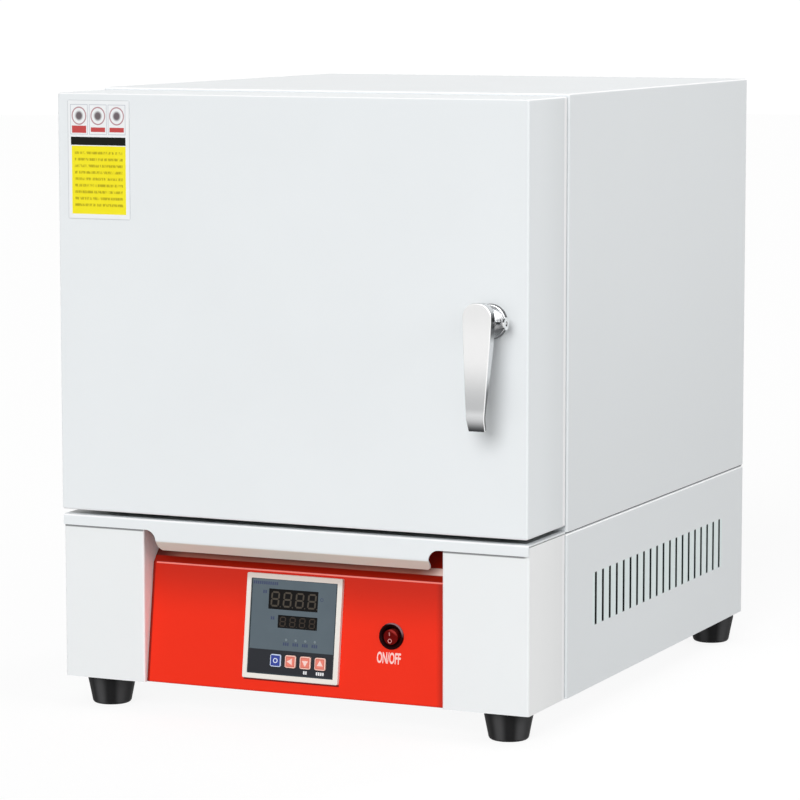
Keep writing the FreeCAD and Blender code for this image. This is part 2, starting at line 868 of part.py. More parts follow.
def door_screw_places():
    """Where the back plate's screws go through the door's rear flange."""
    x = front_half - flange / 2
    low = door_low + flange / 2
    high = door_high - flange / 2
    step = (high - low) / (door_screw_rows - 1)
    return [(side * x, low + i * step) for side in (-1, 1) for i in range(door_screw_rows)]


def door_screw_shanks(grow):
    """The shanks of the back plate's screws, grown, to make their holes."""
    shanks = [
        rod(door_screw_r + grow, V(x, door_rear - door_screw_length - grow, z), V(x, door_rear + past, z))
        for x, z in door_screw_places()
    ]
    return Part.makeCompound(shanks)


def door_screws():
    """Screws that hold the back plate, with low heads in the gap behind the door."""
    sizes = (door_screw_head_r, door_screw_head, door_screw_r, door_screw_length)
    return [screw(*sizes, V(x, door_rear, z), V(0, -1, 0)) for x, z in door_screw_places()]


axis_x = -half_width - hinge_axis_out
axis_y = seam_y - door_seam_gap / 2


def hinge_middles():
    """Heights of the two hinges' middles."""
    return (door_low + hinge_inset, door_high - hinge_inset)


def hinge_leaves(direction):
    """Both hinges' leaves on one side of the seam: 1 on the casing, -1 on the door."""
    pieces = []
    third = hinge_height / 3
    for middle in hinge_middles():
        low = middle - hinge_height / 2
        thirds = [(low, low + third), (low + third, low + 2 * third), (low + 2 * third, low + hinge_height)]
        own = [thirds[0], thirds[2]] if direction > 0 else [thirds[1]]
        x = (-half_width - hinge_leaf_thick, -half_width if direction > 0 else -front_half)
        start = axis_y + direction * (knuckle_r + knuckle_room)
        end = axis_y + direction * hinge_leaf
        outline = rectangle(sorted((start, end)), (low, low + hinge_height), 2.0)
        leaf = prism(outline, in_side(x[0]), V(x[1] - x[0], 0, 0))
        for z0, z1 in own:
            z0 = z0 + (knuckle_gap / 2 if z0 > low else 0)
            z1 = z1 - (knuckle_gap / 2 if z1 < low + hinge_height else 0)
            barrel = rod(knuckle_r, V(axis_x, axis_y, z0), V(axis_x, axis_y, z1))
            web = box(x, sorted((axis_y, start + direction * 3)), (z0, z1))
            leaf = leaf.fuse(barrel.fuse(web))
        ends = [V(axis_x, axis_y, z) for z in (low - 1, low + hinge_height + 1)]
        bore = rod(hinge_pin_r + running_gap, *ends)
        leaf = leaf.cut(bore).cut(hinge_screw_holes(direction))
        pieces.append(leaf.removeSplitter())
    return pieces


def hinge_pins():
    """Hinge pins with a low head at each end."""
    pins = []
    for middle in hinge_middles():
        low = middle - hinge_height / 2
        high = middle + hinge_height / 2
        pin = rod(hinge_pin_r, V(axis_x, axis_y, low), V(axis_x, axis_y, high))
        for z0, z1 in ((low - pin_head, low), (high, high + pin_head)):
            pin = pin.fuse(rod(pin_head_r, V(axis_x, axis_y, z0), V(axis_x, axis_y, z1)))
        pins.append(pin)
    return pins


def hinge_screw_places(direction):
    """Middles of the hinge screws on one side of the seam."""
    y = axis_y + direction * (hinge_leaf + knuckle_r) / 2
    step = hinge_height / hinge_screws_each
    return [
        V(-half_width - hinge_leaf_thick, y, middle + (i - (hinge_screws_each - 1) / 2) * step)
        for middle in hinge_middles()
        for i in range(hinge_screws_each)
    ]


def hinge_screw_holes(direction):
    """Holes for the hinge screws through leaf and wall."""
    along = V(hinge_screw_length + 1, 0, 0)
    holes = [rod(hinge_screw_r + 0.2, p - V(1, 0, 0), p + along) for p in hinge_screw_places(direction)]
    return Part.makeCompound(holes)


def hinge_screws(direction):
    """Pan-head screws of the hinges on one side of the seam."""
    sizes = (hinge_screw_head_r, hinge_screw_head, hinge_screw_r, hinge_screw_length)
    return [screw(*sizes, place, V(1, 0, 0)) for place in hinge_screw_places(direction)]


lever_front = door_front - lever_reach
boss_front = door_front - boss_thick
hub_rear = boss_front - lever_boss_gap


def lever_handle():
    """Lever that narrows downwards, with its end curled towards the door and a hub behind its head."""
    top = lever_z + lever_above
    low = lever_z - lever_below
    knee = low + lever_curl_height
    face = [
        (lever_x - lever_tip_half, low, 0),
        (lever_x + lever_tip_half, low, 0),
        (lever_x + lever_head_half, lever_z, 0),
        (lever_x + lever_head_half, top, lever_head_r),
        (lever_x - lever_head_half, top, lever_head_r),
        (lever_x - lever_head_half, lever_z, 0),
    ]
    knee_y = lever_front - lever_flare
    tip_y = knee_y + lever_curl_depth
    side = [
        (lever_front, top, 0),
        (lever_front, lever_z, lever_bend_r),
        (knee_y, knee, lever_curl_r),
        (tip_y, low, 0),
        (tip_y + lever_tip_thick * 0.8, low + lever_tip_thick * 0.6, 0),
        (knee_y + lever_tip_thick, knee + lever_tip_thick / 2, lever_curl_r - lever_tip_thick),
        (lever_front + lever_thick, lever_z - 2 * hub_r, 0),
        (lever_front + lever_thick, top, 0),
    ]
    blade = prism(side, in_side(lever_x - 2 * lever_head_half), V(4 * lever_head_half, 0, 0))
    blade = blade.common(prism(face, in_front(lever_front - past), V(0, lever_reach + past, 0)))
    front = [edge for edge in blade.Edges if edge.BoundBox.YMax < lever_front + 1e-3]
    rim = [edge for edge in front if edge.BoundBox.ZLength > 1e-3 or edge.BoundBox.ZMin > top - 1e-3]
    blade = blade.makeFillet(lever_rim_r, rim)
    blade = blade.fuse(spindle_line(hub_r, lever_front + lever_thick / 2, hub_rear)).removeSplitter()
    blade = blade.cut(spindle_line(spindle_r + running_gap, lever_front + lever_thick / 2, hub_rear + 1))
    y = (lever_front + lever_thick + hub_rear) / 2
    start = V(lever_x, y, lever_z)
    return blade.cut(rod(clamp_screw_r + 0.1, start, start + V(2 * hub_r, 0, 0)))


def handle_boss():
    """Round boss on the door that the hub turns on."""
    disc = spindle_line(boss_r, boss_front, door_front)
    disc = disc.makeFillet(boss_edge_r, edges_at(disc, 1, boss_front))
    return disc.cut(spindle_line(bush_r + 0.1, boss_front - 1, door_front + 1))


def clamp_screw():
    """Screw in the side of the hub, with a flared head."""
    y = (lever_front + lever_thick + hub_rear) / 2
    start = V(lever_x + spindle_r + 0.2, y, lever_z)
    neck = V(lever_x + hub_r + clamp_screw_out, y, lever_z)
    flare = Part.makeCone(clamp_screw_r, clamp_head_r, clamp_head * 0.7, neck, V(1, 0, 0))
    rim_at = neck + V(clamp_head * 0.7, 0, 0)
    rim = rod(clamp_head_r, rim_at, rim_at + V(clamp_head * 0.3, 0, 0))
    socket = rod(clamp_head_r * 0.4, rim_at, rim_at + V(clamp_head, 0, 0))
    return rod(clamp_screw_r, start, neck).fuse([flare, rim]).removeSplitter().cut(socket)


tongue_front = plate_rear + tongue_gap


def spindle():
    """Shaft from the lever through the door to the latch tongue, with a smaller end."""
    shaft = spindle_line(spindle_r, lever_front + lever_thick / 2 + 0.2, tongue_front)
    end = tongue_front + tongue_thick + latch_nut_thick + 1.5
    return shaft.fuse(spindle_line(spindle_end_r, tongue_front, end)).removeSplitter()


def spindle_bush():
    """Tube through the door that the spindle turns in."""
    tube = spindle_line(bush_r, boss_front, door_rear - sheet)
    return tube.cut(spindle_line(spindle_r + running_gap, boss_front - 1, door_rear))


def latch_tongue():
    """Bar across the spindle's end, upright while the lever hangs, and its nut."""
    half = tongue_width / 2
    x = (lever_x - half, lever_x + half)
    z = (lever_z - tongue_half, lever_z + tongue_half)
    rear = tongue_front + tongue_thick
    bar = prism(rectangle(x, z, half * 0.999), in_front(tongue_front), V(0, tongue_thick, 0))
    bar = bar.cut(spindle_line(spindle_end_r + running_gap, tongue_front - 1, rear + 1))
    start = V(lever_x, rear, lever_z)
    nut = hex_nut(latch_nut_r, spindle_end_r + running_gap, start, start + V(0, latch_nut_thick, 0))
    return [bar, nut]


def mouth_blocks():
    """Four ceramic fibre blocks round the flared mouth."""
    x = chamber_width / 2
    z = chamber_height / 2
    side = lever_x - tongue_half - latch_room - x
    y0, y1 = plate_rear, plate_rear + mouth_depth
    flare = mouth_flare
    right = [(x + flare, y0, 0), (x + side, y0, 0), (x + side, y1, 0), (x, y1, 0)]
    low = chamber_z - z - flare
    high = chamber_z + z + flare
    right_block = prism(right, in_plan(low), V(0, 0, high - low))
    tall = z + board + flare
    over = [
        (y0, chamber_z + z + flare, 0),
        (y1, chamber_z + z, 0),
        (y1, chamber_z + tall, 0),
        (y0, chamber_z + tall, 0),
    ]
    top_block = prism(over, in_side(-x - side), V(2 * (x + side), 0, 0))
    bottom_block = top_block.mirror(V(0, 0, chamber_z), V(0, 0, 1))
    right_block = right_block.cut(top_block).cut(bottom_block)
    return [right_block, mirrored(right_block), top_block, bottom_block]


wall_start = plate_rear + mouth_depth


def muffle_side(side):
    """Side board of the chamber."""
    x = sorted((side * chamber_width / 2, side * (chamber_width / 2 + board)))
    half = chamber_height / 2
    return box(x, (wall_start, muffle_rear_y), (chamber_z - half, chamber_z + half))


def muffle_flat(side):
    """Roof or floor board of the chamber."""
    x = chamber_width / 2 + board
    half = chamber_height / 2
    z = sorted((chamber_z + side * half, chamber_z + side * (half + board)))
    return box((-x, x), (wall_start, muffle_rear_y), z)


def thermocouple_line(radius, y0, y1):
    """A round bar on the thermocouple's axis."""
    z = chamber_z + thermocouple_up
    return rod(radius, V(0, y0, z), V(0, y1, z))


def heater_z(index):
    """Height of one pass of a heating element."""
    return chamber_z + (index - (heater_passes - 1) / 2) * heater_pitch


heater_x = chamber_width / 2 - heater_r - heater_wall_gap


def heater_tail_holes():
    """Holes at the back for the ends of both heating elements."""
    holes = []
    for side in (-1, 1):
        for z in (heater_z(0), heater_z(heater_passes - 1)):
            start = V(side * heater_x, muffle_rear_y - 1, z)
            end = V(side * heater_x, insulation_rear_y + 1, z)
            holes.append(rod(heater_r + hole_gap, start, end))
    return Part.makeCompound(holes)


def muffle_rear():
    """Rear board of the chamber."""
    x = chamber_width / 2 + board
    z = chamber_height / 2 + board
    wall = box((-x, x), (muffle_rear_y, muffle_rear_y + board), (chamber_z - z, chamber_z + z))
    wall = wall.cut(thermocouple_line(thermocouple_r + hole_gap, muffle_rear_y - 1, insulation_rear_y))
    return wall.cut(heater_tail_holes())


insulation_x = half_width - flange - fit_gap
insulation_top_z = body_top - sheet - insulation_gap


def insulation_side(side):
    """Insulation beside the muffle."""
    x = sorted((side * (chamber_width / 2 + board), side * insulation_x))
    half = chamber_height / 2 + board
    return box(x, (wall_start, muffle_rear_y + board), (chamber_z - half, chamber_z + half))


def insulation_layers():
    """Insulation above and below the muffle."""
    x = (-insulation_x, insulation_x)
    y = (wall_start, muffle_rear_y + board)
    half = chamber_height / 2 + board
    return [box(x, y, (chamber_z + half, insulation_top_z)), box(x, y, (deck_top, chamber_z - half))]


def insulation_rear():
    """Insulation behind the muffle."""
    y = (muffle_rear_y + board, insulation_rear_y)
    slab = box((-insulation_x, insulation_x), y, (deck_top, insulation_top_z))
    slab = slab.cut(thermocouple_line(thermocouple_r + hole_gap, y[0] - 1, y[1] + 1))
    return slab.cut(heater_tail_holes())


def heating_element(side):
    """Bare wire in up-and-down passes along a side wall, with both ends led out at the back."""
    x = side * heater_x
    bend = heater_pitch / 2
    front = wall_start + heater_end_gap + bend
    rear = muffle_rear_y - heater_end_gap - bend
    out = insulation_rear_y + heater_tail
    edges = []
    for i in range(heater_passes):
        z = heater_z(i)
        forward = i % 2 == 0
        far = out if i in (0, heater_passes - 1) else rear
        start, end = (V(x, far, z), V(x, front, z)) if forward else (V(x, front, z), V(x, far, z))
        edges.append(Part.LineSegment(start, end).toShape())
        if i < heater_passes - 1:
            y, out_y = (front, front - bend) if forward else (rear, rear + bend)
            turn = Part.Arc(V(x, y, z), V(x, out_y, z + bend), V(x, y, z + heater_pitch))
            edges.append(turn.toShape())
    profile = Part.Wire([Part.makeCircle(heater_r, V(x, out, heater_z(0)), V(0, 1, 0))])
    return Part.Wire(edges).makePipeShell([profile], True, False)


def terminal_insulators():
    """Ceramic sleeves on the ends of the heating elements, against the rear insulation."""
    sleeves = []
    for side in (-1, 1):
        for z in (heater_z(0), heater_z(heater_passes - 1)):
            start = V(side * heater_x, insulation_rear_y, z)
            end = start + V(0, terminal_length, 0)
            sleeves.append(rod(terminal_r, start, end).cut(rod(heater_r + hole_gap / 2, start, end)))
    return sleeves


def hearth_plate():
    """Loose plate on the floor of the chamber."""
    x = chamber_width / 2 - hearth_side_gap
    y = (wall_start + hearth_end_gap, muffle_rear_y - hearth_end_gap)
    low = chamber_z - chamber_height / 2
    corners = rectangle((-x, x), y, 4.0)
    return prism(corners, in_plan(low), V(0, 0, hearth_thick))


def thermocouple_sheath():
    """Ceramic tube with a closed end that reaches into the chamber."""
    tip = muffle_rear_y - thermocouple_reach
    return thermocouple_line(thermocouple_r, tip, insulation_rear_y)


def thermocouple_head():
    """Connection head of the thermocouple, on the rear insulation."""
    y0, y1 = insulation_rear_y, insulation_rear_y + thermocouple_head_length
    neck = y0 + thermocouple_neck
    head = thermocouple_line(thermocouple_head_r, neck, y1)
    head = head.makeFillet(thermocouple_head_edge, edges_at(head, 1, y1))
    return head.fuse(thermocouple_line(thermocouple_head_r * 0.6, y0, neck)).removeSplitter()


def cover_screw_places():
    """Middles of the screws of the rear cover and of the base rear panel."""
    x = half_width - flange * 0.75
    spots = []
    for low, high, rows in ((cover_low, cover_high, 3), (panel_low, panel_high, 2)):
        margin = cover_inset / 2 + cover_screw_head_r
        step = (high - low - 2 * margin) / (rows - 1)
        spots += [(side * x, low + margin + i * step) for side in (-1, 1) for i in range(rows)]
    return spots


cover_low = deck_top + cover_inset
cover_high = body_top - cover_inset
panel_low = low_z + cover_inset / 2
panel_high = deck_bottom - cover_inset / 2


def cover_screw_shanks(grow):
    """The rear screws' shanks, grown, to make their holes."""
    shanks = [
        rod(cover_screw_r + grow, V(x, back_y - cover_screw_length, z), V(x, back_y + past, z))
        for x, z in cover_screw_places()
    ]
    return Part.makeCompound(shanks)


def rear_sheet(low, high, vent_low_z, vent_height_z):
    """A flat sheet on the back with a row of vent slots."""
    x = half_width - cover_inset
    corners = rectangle((-x, x), (low, high), cover_corner_r)
    plate = prism(corners, in_front(back_y), V(0, cover_thick, 0))
    plate = plate.cut(cover_screw_shanks(0.2))
    half = vent_width / 2
    first = -(cover_vent_count - 1) / 2 * cover_vent_pitch
    for i in range(cover_vent_count):
        at = first + i * cover_vent_pitch
        slot = rectangle((at - half, at + half), (vent_low_z, vent_low_z + vent_height_z), half * 0.999)
        plate = plate.cut(prism(slot, in_front(back_y - 1), V(0, cover_thick + 2, 0)))
    return plate


def rear_cover():
    """Cover on the back of the body."""
    return rear_sheet(cover_low, cover_high, chamber_z - cover_vent_height / 2, cover_vent_height)


def base_rear_panel():
    """Panel on the back of the base, with the gland's hole."""
    plate = rear_sheet(panel_low, panel_high, low_z + base_vent_low, base_vent_height)
    z = low_z + gland_up
    return plate.cut(rod(gland_thread_r + 0.2, V(gland_x, back_y - past, z), V(gland_x, back_y + past, z)))


def casing_screws():
    """Screws of the rear cover and of the base rear panel."""
    sizes = (cover_screw_head_r, cover_screw_head, cover_screw_r, cover_screw_length)
    seat_y = back_y + cover_thick
    return [screw(*sizes, V(x, seat_y, z), V(0, -1, 0)) for x, z in cover_screw_places()]


def cable_gland():
    """Empty cable gland in the base rear panel: body, clamping nut and lock nut."""
    z = low_z + gland_up
    y = back_y + cover_thick
    body = hex_nut(gland_hex_r, gland_bore_r, V(gland_x, y, z), V(gland_x, y + gland_hex, z))
    thread = rod(gland_thread_r, V(gland_x, back_y - gland_thread, z), V(gland_x, y, z))
    dome = rod(gland_hex_r * 0.86, V(gland_x, y + gland_hex, z), V(gland_x, back_y + gland_reach, z))
    dome = dome.makeFillet(5.0, edges_at(dome, 1, back_y + gland_reach))
    ends = [V(gland_x, end, z) for end in (back_y - 2 * gland_thread, back_y + 2 * gland_reach)]
    bore = rod(gland_bore_r, *ends)
    body = body.fuse([thread, dome]).removeSplitter().cut(bore)
    start = V(gland_x, back_y - gland_nut, z)
    return [body, hex_nut(gland_hex_r, gland_thread_r + running_gap, start, V(gland_x, back_y, z))]


def heat_sink():
    """Finned aluminium block on the base floor."""
    x0, y0 = sink_inset - half_width, seam_y + sink_back
    wide, deep = sink_size
    low = floor_top + sink_fin
    pieces = [box((x0, x0 + wide), (y0, y0 + deep), (low, low + sink_plate))]
    step = (wide - sink_fin_thick) / (sink_fin_count - 1)
    for i in range(sink_fin_count):
        x = x0 + i * step
        pieces.append(box((x, x + sink_fin_thick), (y0, y0 + deep), (floor_top, low)))
    return pieces[0].fuse(pieces[1:]).removeSplitter()


def solid_state_relay():
    """Relay on the heat sink that switches the heating elements."""
    wide, deep, tall = relay_size
    x = sink_inset - half_width + sink_size[0] / 2
    y = seam_y + sink_back + sink_size[1] / 2
    low = floor_top + sink_fin + sink_plate
    corners = rectangle((x - wide / 2, x + wide / 2), (y - deep / 2, y + deep / 2), relay_corner_r)
    relay = prism(corners, in_plan(low), V(0, 0, tall))
    step = wide / 4
    for end in (-1, 1):
        for side in (-1, 1):
            at = V(x + side * step, y + end * (deep / 2 - relay_well_inset), low + tall)
            relay = relay.cut(rod(relay_well_r, at - V(0, 0, relay_well), at + V(0, 0, 1)))
    return relay


def terminal_block():
    """Row of screw terminals on the base floor."""
    wide, deep, tall = block_size
    x0, y0 = half_width - block_inset - wide, seam_y + block_back
    block = box((x0, x0 + wide), (y0, y0 + deep), (floor_top, floor_top + tall))
    step = (wide - block_wall) / block_poles
    for i in range(block_poles):
        x = x0 + block_wall + i * step
        slot = (floor_top + tall - block_slot, floor_top + tall + 1)
        block = block.cut(box((x, x + step - block_wall), (y0 - 1, y0 + deep + 1), slot))
    return block


def door_label():
    """Thin card stuck on the door's upper left corner."""
    wide, tall = label_size
    x = -front_half + label_left
    z = door_high - label_top
    corners = rectangle((x, x + wide), (z - tall, z), 1.5)
    return prism(corners, in_front(door_front - label_thick), V(0, label_thick, 0))


def save(name, pieces):
    """Writes one sub-part, from one solid or several."""
    solids = pieces if isinstance(pieces, list) else [pieces]
    shape = Part.makeCompound(solids) if len(solids) > 1 else solids[0]
    for solid in solids:
        if not solid.isValid() or len(solid.Solids) != 1:
            print("check", name, solid.isValid(), len(solid.Solids))
    shape.exportStep("parts/" + name + ".step")


right_side = base_side()
right_pillar = pillar()
save("outer_casing", outer_casing())
save("base_side_right", right_side.cut(cover_screw_shanks(0.2)))
save("base_side_left", mirrored(right_side).cut(cover_screw_shanks(0.2)))
save("deck_plate", deck_plate())
save("front_frame", front_frame())
save("latch_keeper", latch_keeper())
save("base_floor", base_floor())
save("pillar_right", right_pillar)
save("pillar_left", mirrored(right_pillar))
save("visor_sheet", visor_sheet())
save("control_panel", control_panel())
save("rubber_feet", rubber_feet())
save("foot_screws", foot_screws())
save("controller_bezel", controller_bezel())
save("controller_face", controller_face())
save("controller_housing", controller_housing())
save("display_windows", display_windows())
save("indicator_lamps", indicator_lamps())
for key_index, key_name in enumerate(key_names):
    save(key_name, controller_key(key_index))
save("switch_body", switch_body())
save("switch_blades", switch_blades())
save("switch_rocker", switch_rocker())
save("door_shell", door_shell())
save("door_back_plate", door_back_plate())
save("door_insulation", door_insulation())
save("door_plug", door_plug())
save("door_seal", door_seal())
save("door_screws", door_screws())
save("hinge_leaves_frame", hinge_leaves(1))
save("hinge_leaves_door", hinge_leaves(-1))
save("hinge_pins", hinge_pins())
save("hinge_screws_door", hinge_screws(-1))
save("lever_handle", lever_handle())
save("handle_boss", handle_boss())
save("clamp_screw", clamp_screw())
save("spindle", spindle())
save("spindle_bush", spindle_bush())
save("latch_tongue", latch_tongue())
save("mouth_blocks", mouth_blocks())
save("muffle_sides", [muffle_side(-1), muffle_side(1)])
save("muffle_roof_floor", [muffle_flat(1), muffle_flat(-1)])
save("muffle_rear", muffle_rear())
save("insulation_sides", [insulation_side(-1), insulation_side(1)])
save("insulation_layers", insulation_layers())
save("insulation_rear", insulation_rear())
save("heating_elements", [heating_element(-1), heating_element(1)])
save("terminal_insulators", terminal_insulators())
save("hearth_plate", hearth_plate())
save("thermocouple", [thermocouple_sheath(), thermocouple_head()])
save("rear_cover", rear_cover())
save("base_rear_panel", base_rear_panel())
save("casing_screws", casing_screws() + hinge_screws(1))
save("cable_gland", cable_gland())
save("heat_sink", heat_sink())
save("solid_state_relay", solid_state_relay())
save("terminal_block", terminal_block())
save("door_label", door_label())
print(len(os.listdir("parts")), "files; front", round(front_y, 2), "seam", round(seam_y, 2), "top", body_top)
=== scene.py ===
"""Looks, light and camera for the bench-top annealing furnace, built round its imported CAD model."""
import math

import bmesh
import bpy
from mathutils import Matrix, Vector


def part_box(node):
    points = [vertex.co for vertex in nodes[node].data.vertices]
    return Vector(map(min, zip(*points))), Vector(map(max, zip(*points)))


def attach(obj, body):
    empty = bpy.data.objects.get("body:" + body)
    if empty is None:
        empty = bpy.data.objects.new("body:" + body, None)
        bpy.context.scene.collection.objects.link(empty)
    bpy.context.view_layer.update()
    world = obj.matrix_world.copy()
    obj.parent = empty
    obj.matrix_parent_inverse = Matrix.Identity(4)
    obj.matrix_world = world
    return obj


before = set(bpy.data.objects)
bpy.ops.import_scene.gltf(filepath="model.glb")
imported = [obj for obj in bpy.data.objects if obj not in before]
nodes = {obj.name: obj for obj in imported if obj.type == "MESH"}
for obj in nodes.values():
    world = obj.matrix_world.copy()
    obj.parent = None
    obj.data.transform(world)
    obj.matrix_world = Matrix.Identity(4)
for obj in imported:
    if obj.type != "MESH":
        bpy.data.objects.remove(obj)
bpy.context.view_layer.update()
scene = bpy.context.scene
mm = 0.001


class Wire:
    """A shader socket that Python's arithmetic works on."""

    def __init__(self, finish, socket):
        self.finish = finish
        self.socket = socket

    def __add__(self, other):
        return self.finish.math("ADD", self, other)

    def __sub__(self, other):
        return self.finish.math("SUBTRACT", self, other)

    def __rsub__(self, other):
        return self.finish.math("SUBTRACT", other, self)

    def __mul__(self, other):
        return self.finish.math("MULTIPLY", self, other)

    def __truediv__(self, other):
        return self.finish.math("DIVIDE", self, other)

    def __abs__(self):
        return self.finish.math("ABSOLUTE", self)

    __radd__ = __add__
    __rmul__ = __mul__


class Finish:
    """A node tree with the calls that build a finish's pattern."""

    def __init__(self, name, base, roughness, **settings):
        self.material = bpy.data.materials.new(name)
        self.material.use_nodes = True
        self.tree = self.material.node_tree
        self.shader = self.tree.nodes["Principled BSDF"]
        self.shader.inputs["Base Color"].default_value = (*base, 1.0)
        self.shader.inputs["Roughness"].default_value = roughness
        for key, value in settings.items():
            socket = key.replace("_", " ").title().replace("Ior", "IOR")
            self.shader.inputs[socket].default_value = value
        self.place = self.node("ShaderNodeTexCoord", out="Object")

    def node(self, kind, settings=None, inputs=None, out=0):
        """Adds a node: first its settings, then its sockets' values or links."""
        made = self.tree.nodes.new(kind)
        for key, value in (settings or {}).items():
            setattr(made, key, value)
        for key, value in (inputs or {}).items():
            if isinstance(value, Wire):
                self.tree.links.new(value.socket, made.inputs[key])
            else:
                made.inputs[key].default_value = value
        return Wire(self, made.outputs[out])

    def math(self, operation, *values):
        return self.node("ShaderNodeMath", {"operation": operation}, dict(enumerate(values)))

    def feed(self, socket, wire):
        """Links a pattern to one of the shader's own sockets."""
        self.tree.links.new(wire.socket, self.shader.inputs[socket])

    def axis(self, name):
        """One coordinate of the surface point, in metres."""
        return self.node("ShaderNodeSeparateXYZ", inputs={"Vector": self.place}, out=name)

    def facing(self, name):
        """How far the surface faces along one axis, from -1 to 1."""
        normal = self.node("ShaderNodeTexCoord", out="Normal")
        return self.node("ShaderNodeSeparateXYZ", inputs={"Vector": normal}, out=name)

    def bent(self):
        """0 on faces square to an axis, 1 on the bends and rounded edges between them."""
        across, deep = abs(self.facing("X")), abs(self.facing("Y"))
        largest = self.math("MAXIMUM", self.math("MAXIMUM", across, deep), abs(self.facing("Z")))
        return 1 - self.rise(largest, 0.86, 0.985)

    def stretched(self, factors):
        """The surface point with each coordinate scaled, for grain that runs one way."""
        settings = {"operation": "MULTIPLY"}
        return self.node("ShaderNodeVectorMath", settings, {0: self.place, 1: factors})

    def noise(self, scale, detail=2.0, along=(1.0, 1.0, 1.0)):
        """Soft random values from 0 to 1; scale is in features per metre."""
        inputs = {"Vector": self.stretched(along), "Scale": scale, "Detail": detail}
        return self.node("ShaderNodeTexNoise", inputs=inputs, out="Fac")

    def cells(self, scale):
        """Distance to the nearest of scattered points, for pits and specks."""
        inputs = {"Vector": self.place, "Scale": scale}
        return self.node("ShaderNodeTexVoronoi", inputs=inputs, out="Distance")

    def rise(self, value, low, high):
        """0 below low, 1 above high, and smooth between them."""
        settings = {"interpolation_type": "SMOOTHSTEP"}
        inputs = {"Value": value, "From Min": low, "From Max": high}
        return self.node("ShaderNodeMapRange", settings, inputs)

    def band(self, value, low, high, soft):
        """1 between low and high, with edges that are soft wide."""
        below = self.rise(value, low - soft / 2, low + soft / 2)
        above = self.rise(value, high - soft / 2, high + soft / 2)
        return below * (1 - above)

    def mix(self, factor, first, second):
        """The first colour where factor is 0, the second where it is 1."""
        inputs = {0: factor, 6: with_alpha(first), 7: with_alpha(second)}
        return self.node("ShaderNodeMix", {"data_type": "RGBA"}, inputs, out=2)

    def bump(self, height, depth):
        """Raises the surface where height is 1, by depth in metres."""
        inputs = {"Height": height, "Distance": depth, "Strength": 1.0}
        self.feed("Normal", self.node("ShaderNodeBump", inputs=inputs))

    def on(self, *names):
        """Puts the finish on CAD nodes."""
        for name in names:
            paint(nodes[name], self)
        return self


def with_alpha(colour):
    """A plain colour as four numbers; a wire as it is."""
    return colour if isinstance(colour, Wire) else (*colour, 1.0)


def srgb(*levels):
    """A colour given as red, green and blue display values from 0 to 255."""
    return tuple(
        ((v / 255 + 0.055) / 1.055) ** 2.4 if v > 10 else v / 255 / 12.92 for v in levels
    )


def shade(colour, factor):
    """A colour made darker, or lighter where factor is over 1."""
    return tuple(v * factor for v in colour)


def paint(piece, finish):
    """Gives a piece one material."""
    piece.data.materials.clear()
    piece.data.materials.append(finish.material)
    return piece


# Where the leaning control panel is: a point on it, and its three directions.
lean = math.radians(7.66)
panel_foot = Vector((0.0, -278.35 * mm, 28.0 * mm))
panel_right = Vector((1.0, 0.0, 0.0))
panel_up = Vector((0.0, math.sin(lean), math.cos(lean)))
panel_out = Vector((0.0, -math.cos(lean), math.sin(lean)))

# Places on the panel in millimetres: the controller bezel's lower left corner and its side, how far the
# face plate stands out, the fold above (counted from the bezel's foot), half the panel's width, and the
# switch's middle.
bezel_left = -50.4
bezel_low = 12.2
bezel_side = 96.0
face_out = 3.2
fold_up = 98.6
panel_half = 149.2
switch_right = 95.0
switch_up = 60.3


def panel_frame(u, v, out):
    """Matrix that sets millimetre drawings (right, up, out) on the control panel."""
    origin = panel_foot + panel_right * (u * mm) + panel_up * (v * mm) + panel_out * (out * mm)
    turn = Matrix((panel_right, panel_up, panel_out)).transposed().to_4x4()
    return Matrix.Translation(origin) @ turn @ Matrix.Scale(mm, 4)


def face_frame(out=0.0):
    """The same, measured from the controller bezel's lower left corner, on its face plate."""
    return panel_frame(bezel_left, bezel_low, face_out + out)


def mesh_piece(name, mesh, place, body, finish):
    """Makes a piece from a mesh drawn in millimetres, on a body and with a finish."""
    mesh.transform(place)
    mesh.update()
    piece = bpy.data.objects.new(name, mesh)
    scene.collection.objects.link(piece)
    paint(piece, finish)
    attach(piece, body)
    return piece


def raised(name, outlines, thick, place, body, finish):
    """Flat shapes standing up by thick. An outline is a loop of points, or a pair of loops for a ring."""
    work = bmesh.new()
    for shape in outlines:
        rings = shape if isinstance(shape, tuple) else (shape,)
        low = [[work.verts.new((u, v, 0.0)) for u, v in loop] for loop in rings]
        high = [[work.verts.new((u, v, thick)) for u, v in loop] for loop in rings]
        count = len(rings[0])
        for i in range(count):
            j = (i + 1) % count
            work.faces.new((low[0][i], low[0][j], high[0][j], high[0][i]))
            if len(rings) == 2:
                work.faces.new((low[1][j], low[1][i], high[1][i], high[1][j]))
                work.faces.new((high[0][i], high[0][j], high[1][j], high[1][i]))
                work.faces.new((low[0][j], low[0][i], low[1][i], low[1][j]))
        if len(rings) == 1:
            work.faces.new(high[0])
            work.faces.new(low[0][::-1])
    bmesh.ops.recalc_face_normals(work, faces=work.faces)
    mesh = bpy.data.meshes.new(name)
    work.to_mesh(mesh)
    work.free()
    return mesh_piece(name, mesh, place, body, finish)


def circle(u, v, radius, count=32):
    """A round outline by its middle, as a loop of count points."""
    turns = [2 * math.pi * i / count for i in range(count)]
    return [(u + radius * math.cos(a), v + radius * math.sin(a)) for a in turns]


def ring(u, v, radius, width):
    """A round outline of that width, inside radius."""
    return circle(u, v, radius), circle(u, v, radius - width)


def bar(u, v, width, height):
    """A rectangle by its middle."""
    return [
        (u - width / 2, v - height / 2),
        (u + width / 2, v - height / 2),
        (u + width / 2, v + height / 2),
        (u - width / 2, v + height / 2),
    ]


